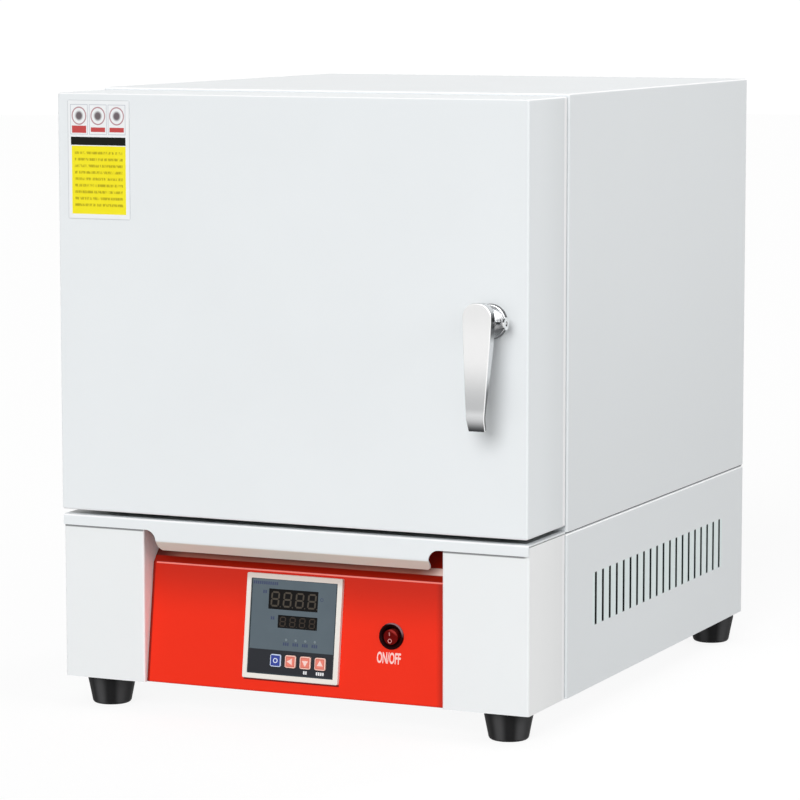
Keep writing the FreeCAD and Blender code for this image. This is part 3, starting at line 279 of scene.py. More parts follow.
def blocks(u, v, count):
    """A short row of small blocks about its middle."""
    pitch, width, height = 2.1, 1.5, 2.9
    return [bar(u + (i - (count - 1) / 2) * pitch, v, width, height) for i in range(count)]


def triangle(u, v, size, turn):
    """A triangle that points at turn, counted in degrees from the right."""
    reach = size * 0.62
    angles = [math.radians(turn + step) for step in (0, 120, 240)]
    return [(u + reach * math.cos(angle), v + reach * math.sin(angle)) for angle in angles]


# Painted sheet metal: heights and depths in metres, the vents and the corner in millimetres. The vents are
# counted from the front end of the base's side, and their heights from its foot.
shell_grey = srgb(238, 242, 244)
# Painted highlight: the near-white that bends take, standing in for light caught on them.
bend_highlight_white = srgb(254, 254, 255)
base_top = 180.7 * mm
lip_low = 170.7 * mm
# Where the painted shade under the door begins, and where it and the painted shadow under the lip stop
# short of the right corner.
covered_from = -277.0 * mm
corner_near = 226.0
vent_first = 72.0
vent_pitch = 18.1
vent_last = vent_first + 19 * vent_pitch
vent_margin = 8.0
vent_foot, vent_head = 56.3, 105.2


def powder_coat(name, colour, roughness=0.32, peel=0.00002, **settings):
    """Powder coat: a fine orange peel, and a sheen that changes slowly. Returns it and its colour wire."""
    coat = Finish(name, colour, roughness, **settings)
    cloud = coat.noise(7.0, 3.0)
    coat.feed("Roughness", roughness - 0.06 + coat.noise(14.0, 2.0) * 0.1)
    coat.bump(coat.noise(620.0, 2.0) + coat.noise(1900.0, 1.0) * 0.4, peel)
    return coat, coat.mix(cloud, shade(colour, 0.975), shade(colour, 1.015))


def highlight_level_bends(coat, skin):
    """The coat's colour, with a painted white highlight on its level bends but not on the upright ones."""
    level = coat.rise(abs(coat.facing("Z")), 0.1, 0.3)
    return coat.mix(coat.bent() * level, skin, bend_highlight_white)


def side_painted_shade(coat, skin, colour, front):
    """Right side of a piece in painted shade: lighter at its front, darker further back, and a painted
    white highlight along its rear edge.
    """
    side = coat.rise(coat.facing("X"), 0.9, 0.99)
    back = coat.axis("Y") / mm
    faded = coat.mix(coat.rise(back, -272.0, -190.0), shade(colour, front), shade(colour, 0.935))
    rear_edge_highlight = coat.rise(back, -203.4, -202.6)
    return coat.mix(side, skin, coat.mix(rear_edge_highlight, faded, bend_highlight_white))


def door_shell():
    """Door, with painted highlights on its level bends, painted shade down its right side, and its top
    painted lighter.
    """
    coat, skin = powder_coat("door_powder_coat", shell_grey)
    skin = highlight_level_bends(coat, side_painted_shade(coat, skin, shell_grey, 1.035))
    # Painted light: the top face lighter than the front.
    top = coat.rise(coat.facing("Z"), 0.8, 0.95)
    coat.feed("Base Color", coat.mix(top, skin, srgb(245, 249, 251)))
    coat.on("door_shell")


def rear_shell():
    """Rear covers, with a painted white highlight on every bend."""
    coat, skin = powder_coat("shell_powder_coat", shell_grey)
    coat.feed("Base Color", coat.mix(coat.bent(), skin, bend_highlight_white))
    coat.on("rear_cover", "base_rear_panel")


def casing_shell():
    """The body's casing: painted highlights on its level bends, and painted shade greying its sides towards
    their foot.
    """
    coat, skin = powder_coat("casing_powder_coat", shell_grey)
    low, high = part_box("outer_casing")
    skin = highlight_level_bends(coat, skin)
    # Painted shade: the sides greyer towards their foot.
    foot = 1 - coat.rise(coat.axis("Z"), low.z - 60.0 * mm, high.z - 90.0 * mm)
    side = coat.rise(abs(coat.facing("X")), 0.9, 0.99)
    coat.feed("Base Color", coat.mix(foot * side, skin, shade(shell_grey, 0.93)))
    coat.on("outer_casing")


def vented_shell():
    """The base's sides: painted shade filling the vents out to their edges and a little beyond, a paler,
    greener tint on the bars between, and painted highlights on the level bends.
    """
    coat, skin = powder_coat("base_side_powder_coat", srgb(233, 237, 239))
    low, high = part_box("base_side_right")
    skin = highlight_level_bends(coat, skin)
    along = (coat.axis("Y") - low.y) / mm
    # Painted shade: dark on the slot walls and the sheet's inner face, and on the coat just round each
    # slot, darkest towards the front.
    inside = 1 - coat.rise(abs(coat.axis("X")), high.x - 0.3 * mm, high.x - 0.1 * mm)
    tall = coat.band((coat.axis("Z") - low.z) / mm, vent_foot, vent_head, 0.6)
    vents = coat.band(along, vent_first - vent_margin, vent_last + vent_margin, 1.0) * tall
    away = abs(coat.math("FRACT", (along - vent_first) / vent_pitch + 0.5) - 0.5) * vent_pitch
    skin = coat.mix(vents, skin, srgb(232, 244, 243))
    dark = coat.mix(coat.rise(along, vent_first, vent_last), srgb(6, 16, 16), srgb(30, 46, 46))
    cut = coat.math("MAXIMUM", inside, 1 - coat.rise(away, 2.4, 2.9))
    coat.feed("Base Color", coat.mix(cut * vents, skin, dark))
    coat.on("base_side_left", "base_side_right")


def pillar_shell():
    """The base's front pillars: painted highlights on their inner bends, their sides painted paler and
    shaded towards the back, and a thin painted shadow under the lip.
    """
    coat, skin = powder_coat("pillar_powder_coat", srgb(241, 244, 245))
    across = coat.axis("X") / mm
    inner_bend_highlight = coat.bent() * (1 - coat.rise(abs(across), 200.0, 210.0))
    skin = coat.mix(inner_bend_highlight, skin, bend_highlight_white)
    # Painted light: the sides paler than the front.
    pale = srgb(250, 251, 251)
    skin = coat.mix(coat.rise(abs(coat.facing("X")), 0.8, 0.95), skin, pale)
    skin = side_painted_shade(coat, skin, pale, 1.015)
    # Painted shadow: a thin dark band on the front just under the lip's edge, stopping short of the right
    # corner.
    lip_shadow = coat.band(coat.axis("Z"), lip_low - 1.9 * mm, lip_low + 0.6 * mm, 1.0 * mm)
    lip_shadow = lip_shadow * (1 - coat.rise(across, corner_near, corner_near + 6.0))
    ahead = coat.rise(-1 * coat.facing("Y"), 0.5, 0.9)
    coat.feed("Base Color", coat.mix(lip_shadow * ahead, skin, srgb(140, 143, 145)))
    coat.on("pillar_left", "pillar_right")


def visor_shell():
    """The base's top cover: painted highlights on its upper bends, the band bent in under the visor a
    warmer grey in painted reflection and shade, and painted shade on its top under the door.
    """
    coat, skin = powder_coat("visor_powder_coat", shell_grey)
    lit = coat.bent() * coat.rise(coat.axis("Z"), lip_low, base_top - 4.0 * mm)
    # Painted reflection and shade: the down-facing band takes a warmer grey.
    under = coat.rise(-1 * coat.facing("Z"), 0.25, 0.6)
    band = coat.mix(under, coat.mix(lit, skin, bend_highlight_white), srgb(228, 218, 206))
    # Painted shade: the top behind the front edge, where the door overhangs it, goes dark grey.
    top = coat.rise(coat.facing("Z"), 0.8, 0.95)
    behind = coat.rise(coat.axis("Y"), covered_from, covered_from + 3.0 * mm)
    door_shadow = top * behind * (1 - coat.rise(coat.axis("X") / mm, corner_near, corner_near + 2.0))
    coat.feed("Base Color", coat.mix(door_shadow, band, srgb(128, 131, 132)))
    coat.on("visor_sheet")


door_shell()
rear_shell()
casing_shell()
vented_shell()
pillar_shell()
visor_shell()


def metal(name, colour, roughness, along, scale=60.0, depth=0.00001):
    """Bare metal with fine drawn lines; along stretches the grain."""
    made = Finish(name, colour, roughness, metallic=1.0)
    lines = made.noise(scale, 3.0, along)
    stain = made.noise(18.0, 3.0)
    made.feed("Base Color", made.mix(stain, shade(colour, 0.86), shade(colour, 1.04)))
    made.feed("Roughness", roughness - 0.08 + lines * 0.16)
    made.bump(lines, depth)
    return made


steel = (0.60, 0.61, 0.62)
zinc = (0.68, 0.69, 0.70)
brass = (0.70, 0.50, 0.22)
aluminium = (0.80, 0.81, 0.82)
mill = metal("sheet_steel_mill", steel, 0.42, (1.0, 12.0, 12.0))
mill.on("base_floor", "front_frame", "door_back_plate")
metal("latch_steel", steel, 0.34, (14.0, 4.0, 1.0)).on("latch_keeper")
fasteners = metal("zinc_fasteners", zinc, 0.30, (6.0, 6.0, 6.0), 300.0)
fasteners.on("foot_screws", "casing_screws", "door_screws")
hinge_zinc = metal("zinc_hinge", zinc, 0.28, (10.0, 10.0, 1.0))
hinge_zinc.on("hinge_leaves_frame", "hinge_leaves_door")
turned = metal("turned_steel", steel, 0.22, (1.0, 30.0, 1.0))
turned.on("hinge_pins", "hinge_screws_door", "spindle", "latch_tongue")
metal("bush_brass", brass, 0.28, (1.0, 26.0, 1.0)).on("spindle_bush", "switch_blades")
metal("sink_aluminium", aluminium, 0.34, (18.0, 1.0, 18.0)).on("heat_sink")


def lever_chrome():
    """Bright chrome with painted reflections: greyer down the front and dark at its tip, light and dark
    bands on its side, and a painted white highlight on its rounded right rim.
    """
    low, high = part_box("lever_handle")
    made = Finish("lever_chrome", (0.9, 0.9, 0.9), 0.2, metallic=1.0)
    up = (made.axis("Z") - low.z) / (high.z - low.z)
    ahead = -1 * made.facing("Y")
    # Painted reflections: colours by height and by facing that stand in for what the chrome mirrors.
    front = made.mix(made.rise(up, 0.2, 0.58), srgb(190, 191, 192), srgb(236, 236, 236))
    front = made.mix(made.rise(up, 0.12, 0.19), srgb(216, 217, 218), front)
    front = made.mix(made.rise(up, 0.0, 0.12), srgb(60, 61, 63), front)
    side = made.mix(made.rise(up, 0.28, 0.46), srgb(96, 97, 99), srgb(222, 223, 224))
    side = made.mix(made.rise(up, 0.68, 0.78), side, srgb(78, 79, 81))
    side = made.mix(made.rise(up, 0.90, 0.95), side, srgb(206, 207, 208))
    hub = made.mix(made.rise(made.facing("Z"), -0.8, 0.5), srgb(150, 148, 148), srgb(226, 227, 228))
    hub_front = low.y + 12.2 * mm
    side = made.mix(made.rise(made.axis("Y"), hub_front, hub_front + 0.8 * mm), side, hub)
    rightward = made.rise(made.facing("X") + made.facing("Z") * 0.5, 0.1, 0.3)
    rim = made.mix(made.rise(ahead, 0.45, 0.6), srgb(120, 121, 123), srgb(252, 252, 252))
    rim = made.mix(made.rise(up, 0.72, 0.84), srgb(253, 253, 253), rim)
    tone = made.mix(made.rise(ahead, 0.3, 0.6), side, front)
    edge = made.band(ahead, 0.14, 0.95, 0.1) * rightward
    made.feed("Base Color", made.mix(edge, tone, rim))
    scratches = made.noise(90.0, 3.0, (12.0, 12.0, 1.0))
    made.feed("Roughness", 0.2 + scratches * 0.08)
    made.bump(scratches + made.noise(1400.0) * 0.2, 0.000004)
    made.on("lever_handle")


def boss_chrome():
    """Bright turned chrome with fine rings, and a painted dark reflection on its side and underside."""
    made = Finish("boss_chrome", srgb(226, 227, 228), 0.16, metallic=1.0)
    grain = made.noise(160.0, 3.0, (1.0, 14.0, 1.0))
    face = made.mix(grain, srgb(210, 211, 213), srgb(240, 240, 241))
    ahead = made.rise(-1 * made.facing("Y"), 0.55, 0.8)
    below = made.rise(-1 * made.facing("Z"), 0.15, 0.4)
    made.feed("Roughness", 0.16 + grain * 0.12)
    made.feed("Base Color", made.mix(ahead * (1 - below), srgb(92, 93, 95), face))
    made.bump(grain, 0.000005)
    made.on("handle_boss")


def screw_chrome():
    """Polished screw with painted dark reflections along its upper side and under it."""
    made = Finish("screw_chrome", srgb(240, 240, 241), 0.12, metallic=1.0)
    upward = made.facing("Z")
    grain = made.noise(240.0, 3.0, (1.0, 6.0, 6.0))
    reflection_streak = made.band(upward, 0.3, 0.85, 0.15) + made.band(upward, -0.8, -0.5, 0.15)
    bright = made.mix(grain, srgb(226, 227, 228), srgb(250, 250, 250))
    made.feed("Base Color", made.mix(reflection_streak, bright, srgb(72, 73, 75)))
    made.feed("Roughness", 0.1 + grain * 0.1)
    made.bump(grain, 0.000003)
    made.on("clamp_screw")


lever_chrome()
boss_chrome()
screw_chrome()


def moulded(name, colour, roughness, grain, depth=0.00001, **settings):
    """Moulded plastic or rubber with a fine spark texture."""
    made = Finish(name, colour, roughness, **settings)
    spark = made.noise(grain, 2.0)
    made.feed("Base Color", made.mix(made.noise(30.0, 3.0), shade(colour, 0.93), shade(colour, 1.05)))
    made.feed("Roughness", roughness - 0.05 + spark * 0.1)
    made.bump(spark, depth)
    return made


def foot_rubber():
    """Black rubber with two broad upright bands of painted sheen."""
    made = Finish("foot_rubber", srgb(22, 22, 23), 0.6, specular_ior_level=0.12)
    across = made.facing("X")
    # Painted sheen: lighter bands by which way the surface faces.
    sheen = made.band(across, -0.28, 0.14, 0.34) + made.band(across, 0.66, 0.94, 0.24)
    upright = 1 - made.rise(abs(made.facing("Z")), 0.4, 0.8)
    spark = made.noise(1500.0, 2.0)
    dark = made.mix(spark, srgb(19, 19, 20), srgb(27, 27, 28))
    made.feed("Base Color", made.mix(sheen * upright, dark, srgb(72, 72, 73)))
    made.feed("Roughness", 0.56 + spark * 0.1)
    made.bump(spark, 0.00003)
    made.on("rubber_feet")


foot_rubber()
# The deck plate is near-black as painted shade for the gap under the door.
moulded("deck_painted_shade", srgb(30, 36, 36), 0.7, 900.0).on("deck_plate")
housing = moulded("housing_black", srgb(38, 38, 40), 0.5, 1800.0)
housing.on("controller_housing", "solid_state_relay", "cable_gland")
moulded("block_cream", srgb(226, 218, 196), 0.5, 1600.0).on("terminal_block")
filter_dark = moulded("window_filter", srgb(11, 10, 10), 0.3, 300.0, 0.000002, specular_ior_level=0.1)
filter_dark.on("display_windows")
lens_grey = moulded("lamp_lens", srgb(124, 136, 142), 0.3, 600.0, 0.000004, specular_ior_level=0.2)
lens_grey.on("indicator_lamps")


def switch_plastic(name, colour, sheen, reach, inner, outer, turned_from):
    """Gloss plastic round the switch's middle, with a painted highlight on its upper right between two
    radii.
    """
    made = Finish(name, colour, 0.28, specular_ior_level=0.04)
    aim_right, aim_up = 0.5, 0.85
    middle_high = panel_foot.z / mm + switch_up * math.cos(lean)
    right = made.axis("X") / mm - switch_right
    up = (made.axis("Z") / mm - middle_high) / math.cos(lean)
    far = made.math("SQRT", right * right + up * up)
    aim = (right * aim_right + up * aim_up) / reach
    towards = made.facing("X") * aim_right + made.facing("Z") * aim_up
    highlight_mask = made.rise(aim, 0.4, 0.85) * made.band(far, inner, outer, 0.8)
    highlight_mask = highlight_mask * made.rise(towards, turned_from, turned_from + 0.2)
    spark = made.noise(500.0, 2.0)
    skin = made.mix(spark, shade(colour, 0.9), shade(colour, 1.1))
    made.feed("Base Color", made.mix(highlight_mask, skin, sheen))
    made.feed("Roughness", 0.24 + spark * 0.08)
    made.bump(spark, 0.000002)
    return made


# Painted highlights for the switch body and the rocker.
body_highlight, rocker_highlight = srgb(146, 112, 118), srgb(176, 56, 52)
gloss_black = switch_plastic("switch_gloss_black", srgb(30, 4, 6), body_highlight, 12.0, 9.6, 14.0, 0.2)
gloss_black.on("switch_body")
rocker_red = switch_plastic("rocker_red", srgb(104, 8, 6), rocker_highlight, 6.9, 4.0, 6.4, -1.0)
rocker_red.on("switch_rocker")


def up_the_panel(made):
    """Height of the surface point up the slope of the panel from the bezel's lower edge, in millimetres."""
    rise = (made.axis("Z") - panel_foot.z) * panel_up.z
    back = (made.axis("Y") - panel_foot.y) * panel_up.y
    return (rise + back) / mm - bezel_low


def across_the_face(made):
    """Distance of the surface point from the bezel's left edge, in millimetres."""
    return made.axis("X") / mm - bezel_left


def bezel_ivory():
    """Ivory moulding, with painted shade along its upper edge under the visor."""
    made = Finish("bezel_ivory", srgb(236, 232, 224), 0.38, specular_ior_level=0.3)
    spark = made.noise(2400.0, 2.0)
    tone = made.mix(made.noise(30.0, 3.0), srgb(233, 229, 221), srgb(239, 235, 228))
    # Painted shade: darker and warmer towards the top.
    top = made.rise(up_the_panel(made), 86.0, 94.0)
    made.feed("Base Color", made.mix(top, tone, srgb(214, 202, 194)))
    made.feed("Roughness", 0.34 + spark * 0.1)
    made.bump(spark, 0.00001)
    made.on("controller_bezel")


bezel_ivory()


def red_enamel():
    """Red coat with painted light and shade: darker towards the visor, a painted highlight along its fold,
    painted shade above the fold, beside the pillars and under the bezel, and a pale strip painted bright in
    the right notch and dark under the visor.
    """
    red = srgb(240, 42, 8)
    coat, skin = powder_coat("panel_red_enamel", red, 0.4, 0.000015, specular_ior_level=0.2)
    deep = shade(red, 0.3)
    up = up_the_panel(coat)
    right = coat.axis("X") / mm
    # Painted shade: darker up towards the visor.
    skin = coat.mix(coat.rise(up, 48.0, fold_up), skin, shade(red, 0.68))
    shade_beside_right = coat.rise(right + up * 0.06, 140.5, 147.5)
    skin = coat.mix(shade_beside_right * 0.55, skin, deep)
    left_edge_shade = coat.rise(-1 * right, panel_half - 2.8, panel_half - 1.6)
    skin = coat.mix(left_edge_shade, skin, deep)
    bezel_shadow = coat.band(up, -1.7, -0.1, 0.6) * coat.band(across_the_face(coat), 0.0, bezel_side, 1.0)
    skin = coat.mix(bezel_shadow, skin, shade(red, 0.25))
    shade_above_fold = coat.rise(up, fold_up + 0.4, fold_up + 1.0)
    skin = coat.mix(shade_above_fold, skin, shade(red, 0.36))
    within = 1 - coat.rise(abs(right), panel_half - 3.5, panel_half - 3.0)
    # Painted highlight: a pale pink stripe along the fold.
    line = coat.band(up, fold_up - 0.7, fold_up + 0.7, 0.5) * within
    skin = coat.mix(line, skin, srgb(246, 136, 126))
    # A pale strip above the fold, painted light where the notch lets light in and in painted shade under
    # the visor.
    pale_strip_lit_and_shaded = coat.mix(coat.rise(right, 112.0, 140.0), srgb(190, 124, 108), srgb(255, 224, 214))
    pale_strip_lit_and_shaded = coat.mix(coat.rise(right, -144.0, -118.0), srgb(84, 30, 24), pale_strip_lit_and_shaded)
    skin = coat.mix(coat.band(up, fold_up + 6.4, fold_up + 12.6, 1.0), skin, pale_strip_lit_and_shaded)
    coat.feed("Base Color", skin)
    coat.on("control_panel")


red_enamel()


def face_foil():
    """Grey-blue foil with a near-black lower band and a fine matt grain, with painted shade along its edges
    under the bezel.
    """
    made = Finish("face_foil", srgb(86, 98, 106), 0.42, specular_ior_level=0.2)
    up = up_the_panel(made)
    across = across_the_face(made)
    cloud = made.noise(60.0, 2.0)
    upper = made.mix(cloud, srgb(84, 96, 104), srgb(91, 104, 112))
    lower = made.mix(cloud, srgb(28, 30, 36), srgb(34, 37, 43))
    field = made.mix(made.rise(up, 27.0, 27.4), lower, upper)
    # Painted shade: a dark margin round the face where the bezel shades it.
    margin = 5.9
    middle = made.band(across, margin, bezel_side - margin, 0.5) * made.band(up, margin, 91.0, 0.5)
    made.feed("Base Color", made.mix(middle, srgb(40, 50, 57), field))
    grain = made.noise(3000.0, 1.0)
    made.feed("Roughness", 0.38 + grain * 0.1)
    made.bump(grain, 0.000003)
    made.on("controller_face")


face_foil()
key_middles = [33.2 + 14.9 * i for i in range(4)]
key_up = 17.7
key_half_width, key_half_height = 5.4, 5.7


def key_cap(name, middle, body, rim):
    """Soft key: a coloured field inside a paler printed rim."""
    made = Finish(name, body, 0.5)
    side = abs(across_the_face(made) - middle) / key_half_width
    tall = abs(up_the_panel(made) - key_up) / key_half_height
    edge = made.math("MAXIMUM", side, tall)
    cloud = made.noise(400.0, 2.0)
    field = made.mix(cloud, shade(body, 0.92), shade(body, 1.06))
    inner = made.mix(made.band(edge, 0.66, 0.8, 0.06), field, shade(body, 0.72))
    made.feed("Base Color", made.mix(made.rise(edge, 0.8, 0.88), inner, rim))
    made.feed("Roughness", 0.44 + cloud * 0.12)
    made.bump(cloud, 0.000006)
    return made


key_blue = srgb(20, 48, 146)
key_salmon = srgb(232, 124, 106)
pale_rim = srgb(252, 206, 192)
key_names = ("set_key", "left_key", "down_key", "up_key")
key_cap("key_set_blue", key_middles[0], key_blue, srgb(206, 220, 246)).on("set_key")
for key, middle in zip(key_names[1:], key_middles[1:]):
    key_cap("key_salmon_" + key, middle, key_salmon, pale_rim).on(key)


def printed(name, colour, roughness=0.45):
    """Screen-printed ink with a slightly uneven cover."""
    made = Finish(name, colour, roughness)
    cover = made.noise(900.0, 2.0)
    made.feed("Base Color", made.mix(cover, shade(colour, 0.9), shade(colour, 1.04)))
    made.bump(cover, 0.000003)
    return made


def digit(u, v, width, height, thick, slant=0.06):
    """Seven bars of one display digit about its middle, leaning to the right."""
    half = thick / 2
    reach_u, reach_v = width / 2 - half, height / 2 - half
    gap = thick * 0.16
    bars = []
    for side_v in (-1, 0, 1):
        end = reach_u - gap
        level = side_v * reach_v
        bars.append([
            (-end, level), (-end + half, level - half), (end - half, level - half),
            (end, level), (end - half, level + half), (-end + half, level + half),
        ])
    for side_u in (-1, 1):
        for side_v in (-1, 1):
            across = side_u * reach_u
            low, high = sorted((side_v * gap, side_v * (reach_v - gap)))
            bars.append([
                (across, low), (across + half, low + half), (across + half, high - half),
                (across, high), (across - half, high - half), (across - half, low + half),
            ])
    return [[(u + a + b * slant, v + b) for a, b in one] for one in bars]


def digit_row(first, pitch, v, size, point):
    """Four digits of one size, each followed by its point: how far right, how far down, and its radius."""
    shapes = []
    for i in range(4):
        u = first + pitch * i
        shapes += digit(u, v, *size)
        shapes.append(circle(u + point[0], v - point[1], point[2], 16))
    return shapes


segment = {"grain": 700.0, "depth": 0.000002, "specular_ior_level": 0.1}
segment_ink = moulded("segment_unlit", srgb(76, 70, 62), 0.5, **segment)
segment_dim = moulded("segment_unlit_small", srgb(58, 50, 44), 0.5, **segment)
window_front = -0.25
display = face_frame(window_front)
high_digits = digit_row(29.2, 12.3, 73.35, (8.6, 14.0, 1.6), (5.4, 6.75, 0.6))
low_digits = digit_row(37.9, 9.8, 53.35, (6.2, 9.2, 1.15), (4.2, 4.25, 0.45))
raised("display_digits_high", high_digits, 0.04, display, "furnace_body", segment_ink)
raised("display_digits_low", low_digits, 0.04, display, "furnace_body", segment_dim)

dark_ink = printed("legend_ink_dark", srgb(40, 54, 88))
white_ink = printed("legend_ink_white", srgb(232, 234, 236))
dark_marks = blocks(18.6, 79.4, 2) + blocks(27.6, 56.0, 2) + blocks(19.0, 87.4, 12)
dark_marks.append(ring(76.0, 75.6, 1.6, 0.5))
for i in range(4):
    dark_marks += blocks(42.3 + 9.6 * i, 33.2, 3)
raised("face_marks_dark", dark_marks, 0.05, face_frame(), "furnace_body", dark_ink)
white_marks = blocks(key_middles[2], 8.8, 2) + blocks(key_middles[3], 8.8, 4)
raised("face_marks_white", white_marks, 0.05, face_frame(), "furnace_body", white_ink)

key_rise = 1.1
key_top = face_frame(key_rise)
ring_ink = printed("set_symbol_ink", srgb(226, 234, 250))
set_ring = [ring(key_middles[0], key_up, 2.3, 0.8)]
raised("set_symbol", set_ring, 0.06, key_top, "set_button", ring_ink)
symbol_ink = printed("key_symbol_ink", srgb(250, 214, 206))
for middle, key, turn in zip(key_middles[1:], ("left", "down", "up"), (180, 270, 90)):
    shape = [triangle(middle, key_up, 5.6, turn)]
    raised(key + "_symbol", shape, 0.06, key_top, key + "_button", symbol_ink)


def rocker_marks():
    """An I above and an O below, each lying on its half of the rocker's shallow valley."""
    pivot_depth, rocker_rise, rest_tilt = 3.2, 2.6, math.radians(8.0)
    valley_depth, valley_reach = 0.8, 7.9
    slope = math.atan2(valley_depth, valley_reach)
    ink = printed("rocker_mark_ink", srgb(228, 152, 148))
    pivot = panel_frame(switch_right, switch_up, -pivot_depth) @ Matrix.Rotation(rest_tilt, 4, "X")
    marks = (
        ("rocker_mark_on", 1, 2.5, bar(-1.3, 0.0, 0.65, 3.3)),
        ("rocker_mark_off", -1, 3.6, ring(-0.9, 0.0, 2.0, 0.6)),
    )
    for name, side, away, shape in marks:
        out = pivot_depth + rocker_rise - valley_depth + away * math.tan(slope) + 0.01
        place = pivot @ Matrix.Translation((0.0, side * away, out)) @ Matrix.Rotation(side * slope, 4, "X")
        raised(name, [shape], 0.05, place, "rocker", ink)


rocker_marks()


def caption():
    """ON and OFF in pale ink under the switch, cut from the plain built-in letters."""
    text = bpy.data.curves.new("switch_caption_text", "FONT")
    text.body = "ON/OFF"
    text.extrude = 0.02
    text.offset = 0.028
    holder = bpy.data.objects.new("switch_caption_text", text)
    scene.collection.objects.link(holder)
    bpy.context.view_layer.update()
    mesh = bpy.data.meshes.new_from_object(holder)
    bpy.data.objects.remove(holder)
    low = [min(v.co[i] for v in mesh.vertices) for i in range(3)]
    high = [max(v.co[i] for v in mesh.vertices) for i in range(3)]
    size = (23.4, 10.3, 0.06)
    grow = [size[i] / (high[i] - low[i]) for i in range(3)]
    mesh.transform(Matrix.Diagonal((*grow, 1.0)) @ Matrix.Translation([-v for v in low]))
    ink = printed("caption_ink", srgb(255, 208, 202))
    mesh_piece("switch_caption", mesh, panel_frame(81.7, 35.4, 0.0), "furnace_body", ink)


caption()


def label_card():
    """Plain card: three framed tiles with ring and bar, a dark bar, and broken lines on a yellow field."""
    low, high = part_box("door_label")
    made = Finish("label_card", srgb(240, 243, 245), 0.4, specular_ior_level=0.15)
    across = (made.axis("X") - low.x) / mm
    up = (made.axis("Z") - low.z) / mm
    soft = 0.3
    tile_foot, tile_head, frame_wide = 77.0, 104.4, 0.5
    tiles = (
        (2.8, 20.9, 78.4, 85.0),
        (22.3, 40.5, 79.4, 83.6),
        (41.8, 59.8, 79.4, 83.6),
    )
    card = made.mix(made.noise(80.0, 2.0), srgb(241, 244, 246), srgb(247, 249, 250))
    sheet = made.band(across, 0.5, 63.5, soft) * made.band(up, 0.5, 107.9, soft)
    card = made.mix(sheet, srgb(206, 209, 212), card)
    broken = made.rise(made.noise(700.0, 2.0, (1.0, 1.0, 0.3)), 0.3, 0.6)
    for left, right, plate_low, plate_high in tiles:
        middle = (left + right) / 2
        outer = made.band(across, left, right, soft) * made.band(up, tile_foot, tile_head, soft)
        inner = made.band(across, left + frame_wide, right - frame_wide, soft)
        inner = inner * made.band(up, tile_foot + frame_wide, tile_head - frame_wide, soft)
        card = made.mix(outer * (1 - inner), card, srgb(190, 194, 204))
        side, tall = (across - middle) / 7.6, (up - 94.0) / 8.3
        far = made.math("SQRT", side * side + tall * tall)
        card = made.mix(made.band(far, 0.86, 1.0, 0.06), card, srgb(186, 140, 146))
        card = made.mix(1 - made.rise(far, 0.3, 0.66), card, srgb(112, 102, 106))
        plate = made.band(across, middle - 7.4, middle + 7.4, soft)
        card = made.mix(plate * made.band(up, plate_low, plate_high, soft), card, srgb(200, 78, 78))
    field = made.band(across, 4.0, 59.8, soft) * made.band(up, 4.6, 66.6, soft)
    yellow = made.mix(made.noise(50.0, 2.0), srgb(249, 233, 30), srgb(252, 240, 48))
    first_line, line_pitch = 12.84, 5.93
    lines = made.math("FRACT", (up - first_line) / line_pitch + 0.5)
    written = made.band(across, 7.0, 56.8, soft) * made.band(up, 10.0, 63.2, soft)
    ruled = made.band(lines, 0.3, 0.7, 0.2) * written
    card = made.mix(field, card, made.mix(ruled * broken * 0.7, yellow, srgb(150, 134, 24)))
    strip = made.band(across, 3.2, 59.8, soft) * made.band(up, 67.4, 74.8, soft)
    made.feed("Base Color", made.mix(strip, card, srgb(8, 10, 5)))
    made.feed("Roughness", 0.34 + made.noise(300.0) * 0.12)
    made.bump(made.noise(1200.0), 0.000004)
    made.on("door_label")


label_card()


def fibre(name, colour, scale, depth):
    """Ceramic fibre: chalky, with matted fibres and small pits."""
    made = Finish(name, colour, 0.92)
    mat = made.noise(scale, 5.0) * 0.6 + made.noise(scale * 2.5, 4.0, (0.3, 1.0, 1.0)) * 0.4
    pits = made.rise(made.cells(scale * 0.7), 0.0, 0.3)
    tone = made.mix(made.noise(9.0, 3.0), shade(colour, 0.9), shade(colour, 1.02))
    made.feed("Base Color", made.mix(pits, shade(colour, 0.78), tone))
    made.bump(mat + pits * 0.5, depth)
    return made


board = fibre("fibre_board", srgb(238, 234, 224), 160.0, 0.0004)
board.on("door_insulation", "door_plug", "mouth_blocks")
board.on("muffle_sides", "muffle_roof_floor", "muffle_rear")
blanket = fibre("fibre_blanket", srgb(240, 240, 237), 90.0, 0.0012)
blanket.on("insulation_sides", "insulation_layers", "insulation_rear", "door_seal")


def heater_wire():
    """Coiled resistance wire: dark oxide, with close turns along each pass."""
    made = Finish("heater_wire", srgb(92, 86, 82), 0.6, metallic=0.7)
    coil_pitch = 1.6 * mm
    along = made.axis("Y") + made.axis("Z") * 0.6
    turn = made.math("SINE", along * (2 * math.pi / coil_pitch))
    groove = turn * 0.5 + 0.5
    oxide = made.noise(260.0, 3.0)
    tone = made.mix(oxide, srgb(74, 68, 64), srgb(116, 108, 102))
    made.feed("Base Color", made.mix(groove, srgb(34, 30, 28), tone))
    made.bump(groove, 0.0006)
    made.on("heating_elements")


def fired_ceramic():
    """Unglazed fired ceramic, off-white with brown specks."""
    made = Finish("fired_ceramic", srgb(226, 218, 200), 0.7)
    specks = made.rise(made.cells(420.0), 0.06, 0.16)
    tone = made.mix(made.noise(24.0, 4.0), srgb(214, 204, 184), srgb(234, 228, 212))
    made.feed("Base Color", made.mix(specks, srgb(150, 120, 92), tone))
    made.bump(made.noise(700.0, 3.0), 0.00005)
    made.on("hearth_plate", "thermocouple", "terminal_insulators")


heater_wire()
fired_ceramic()


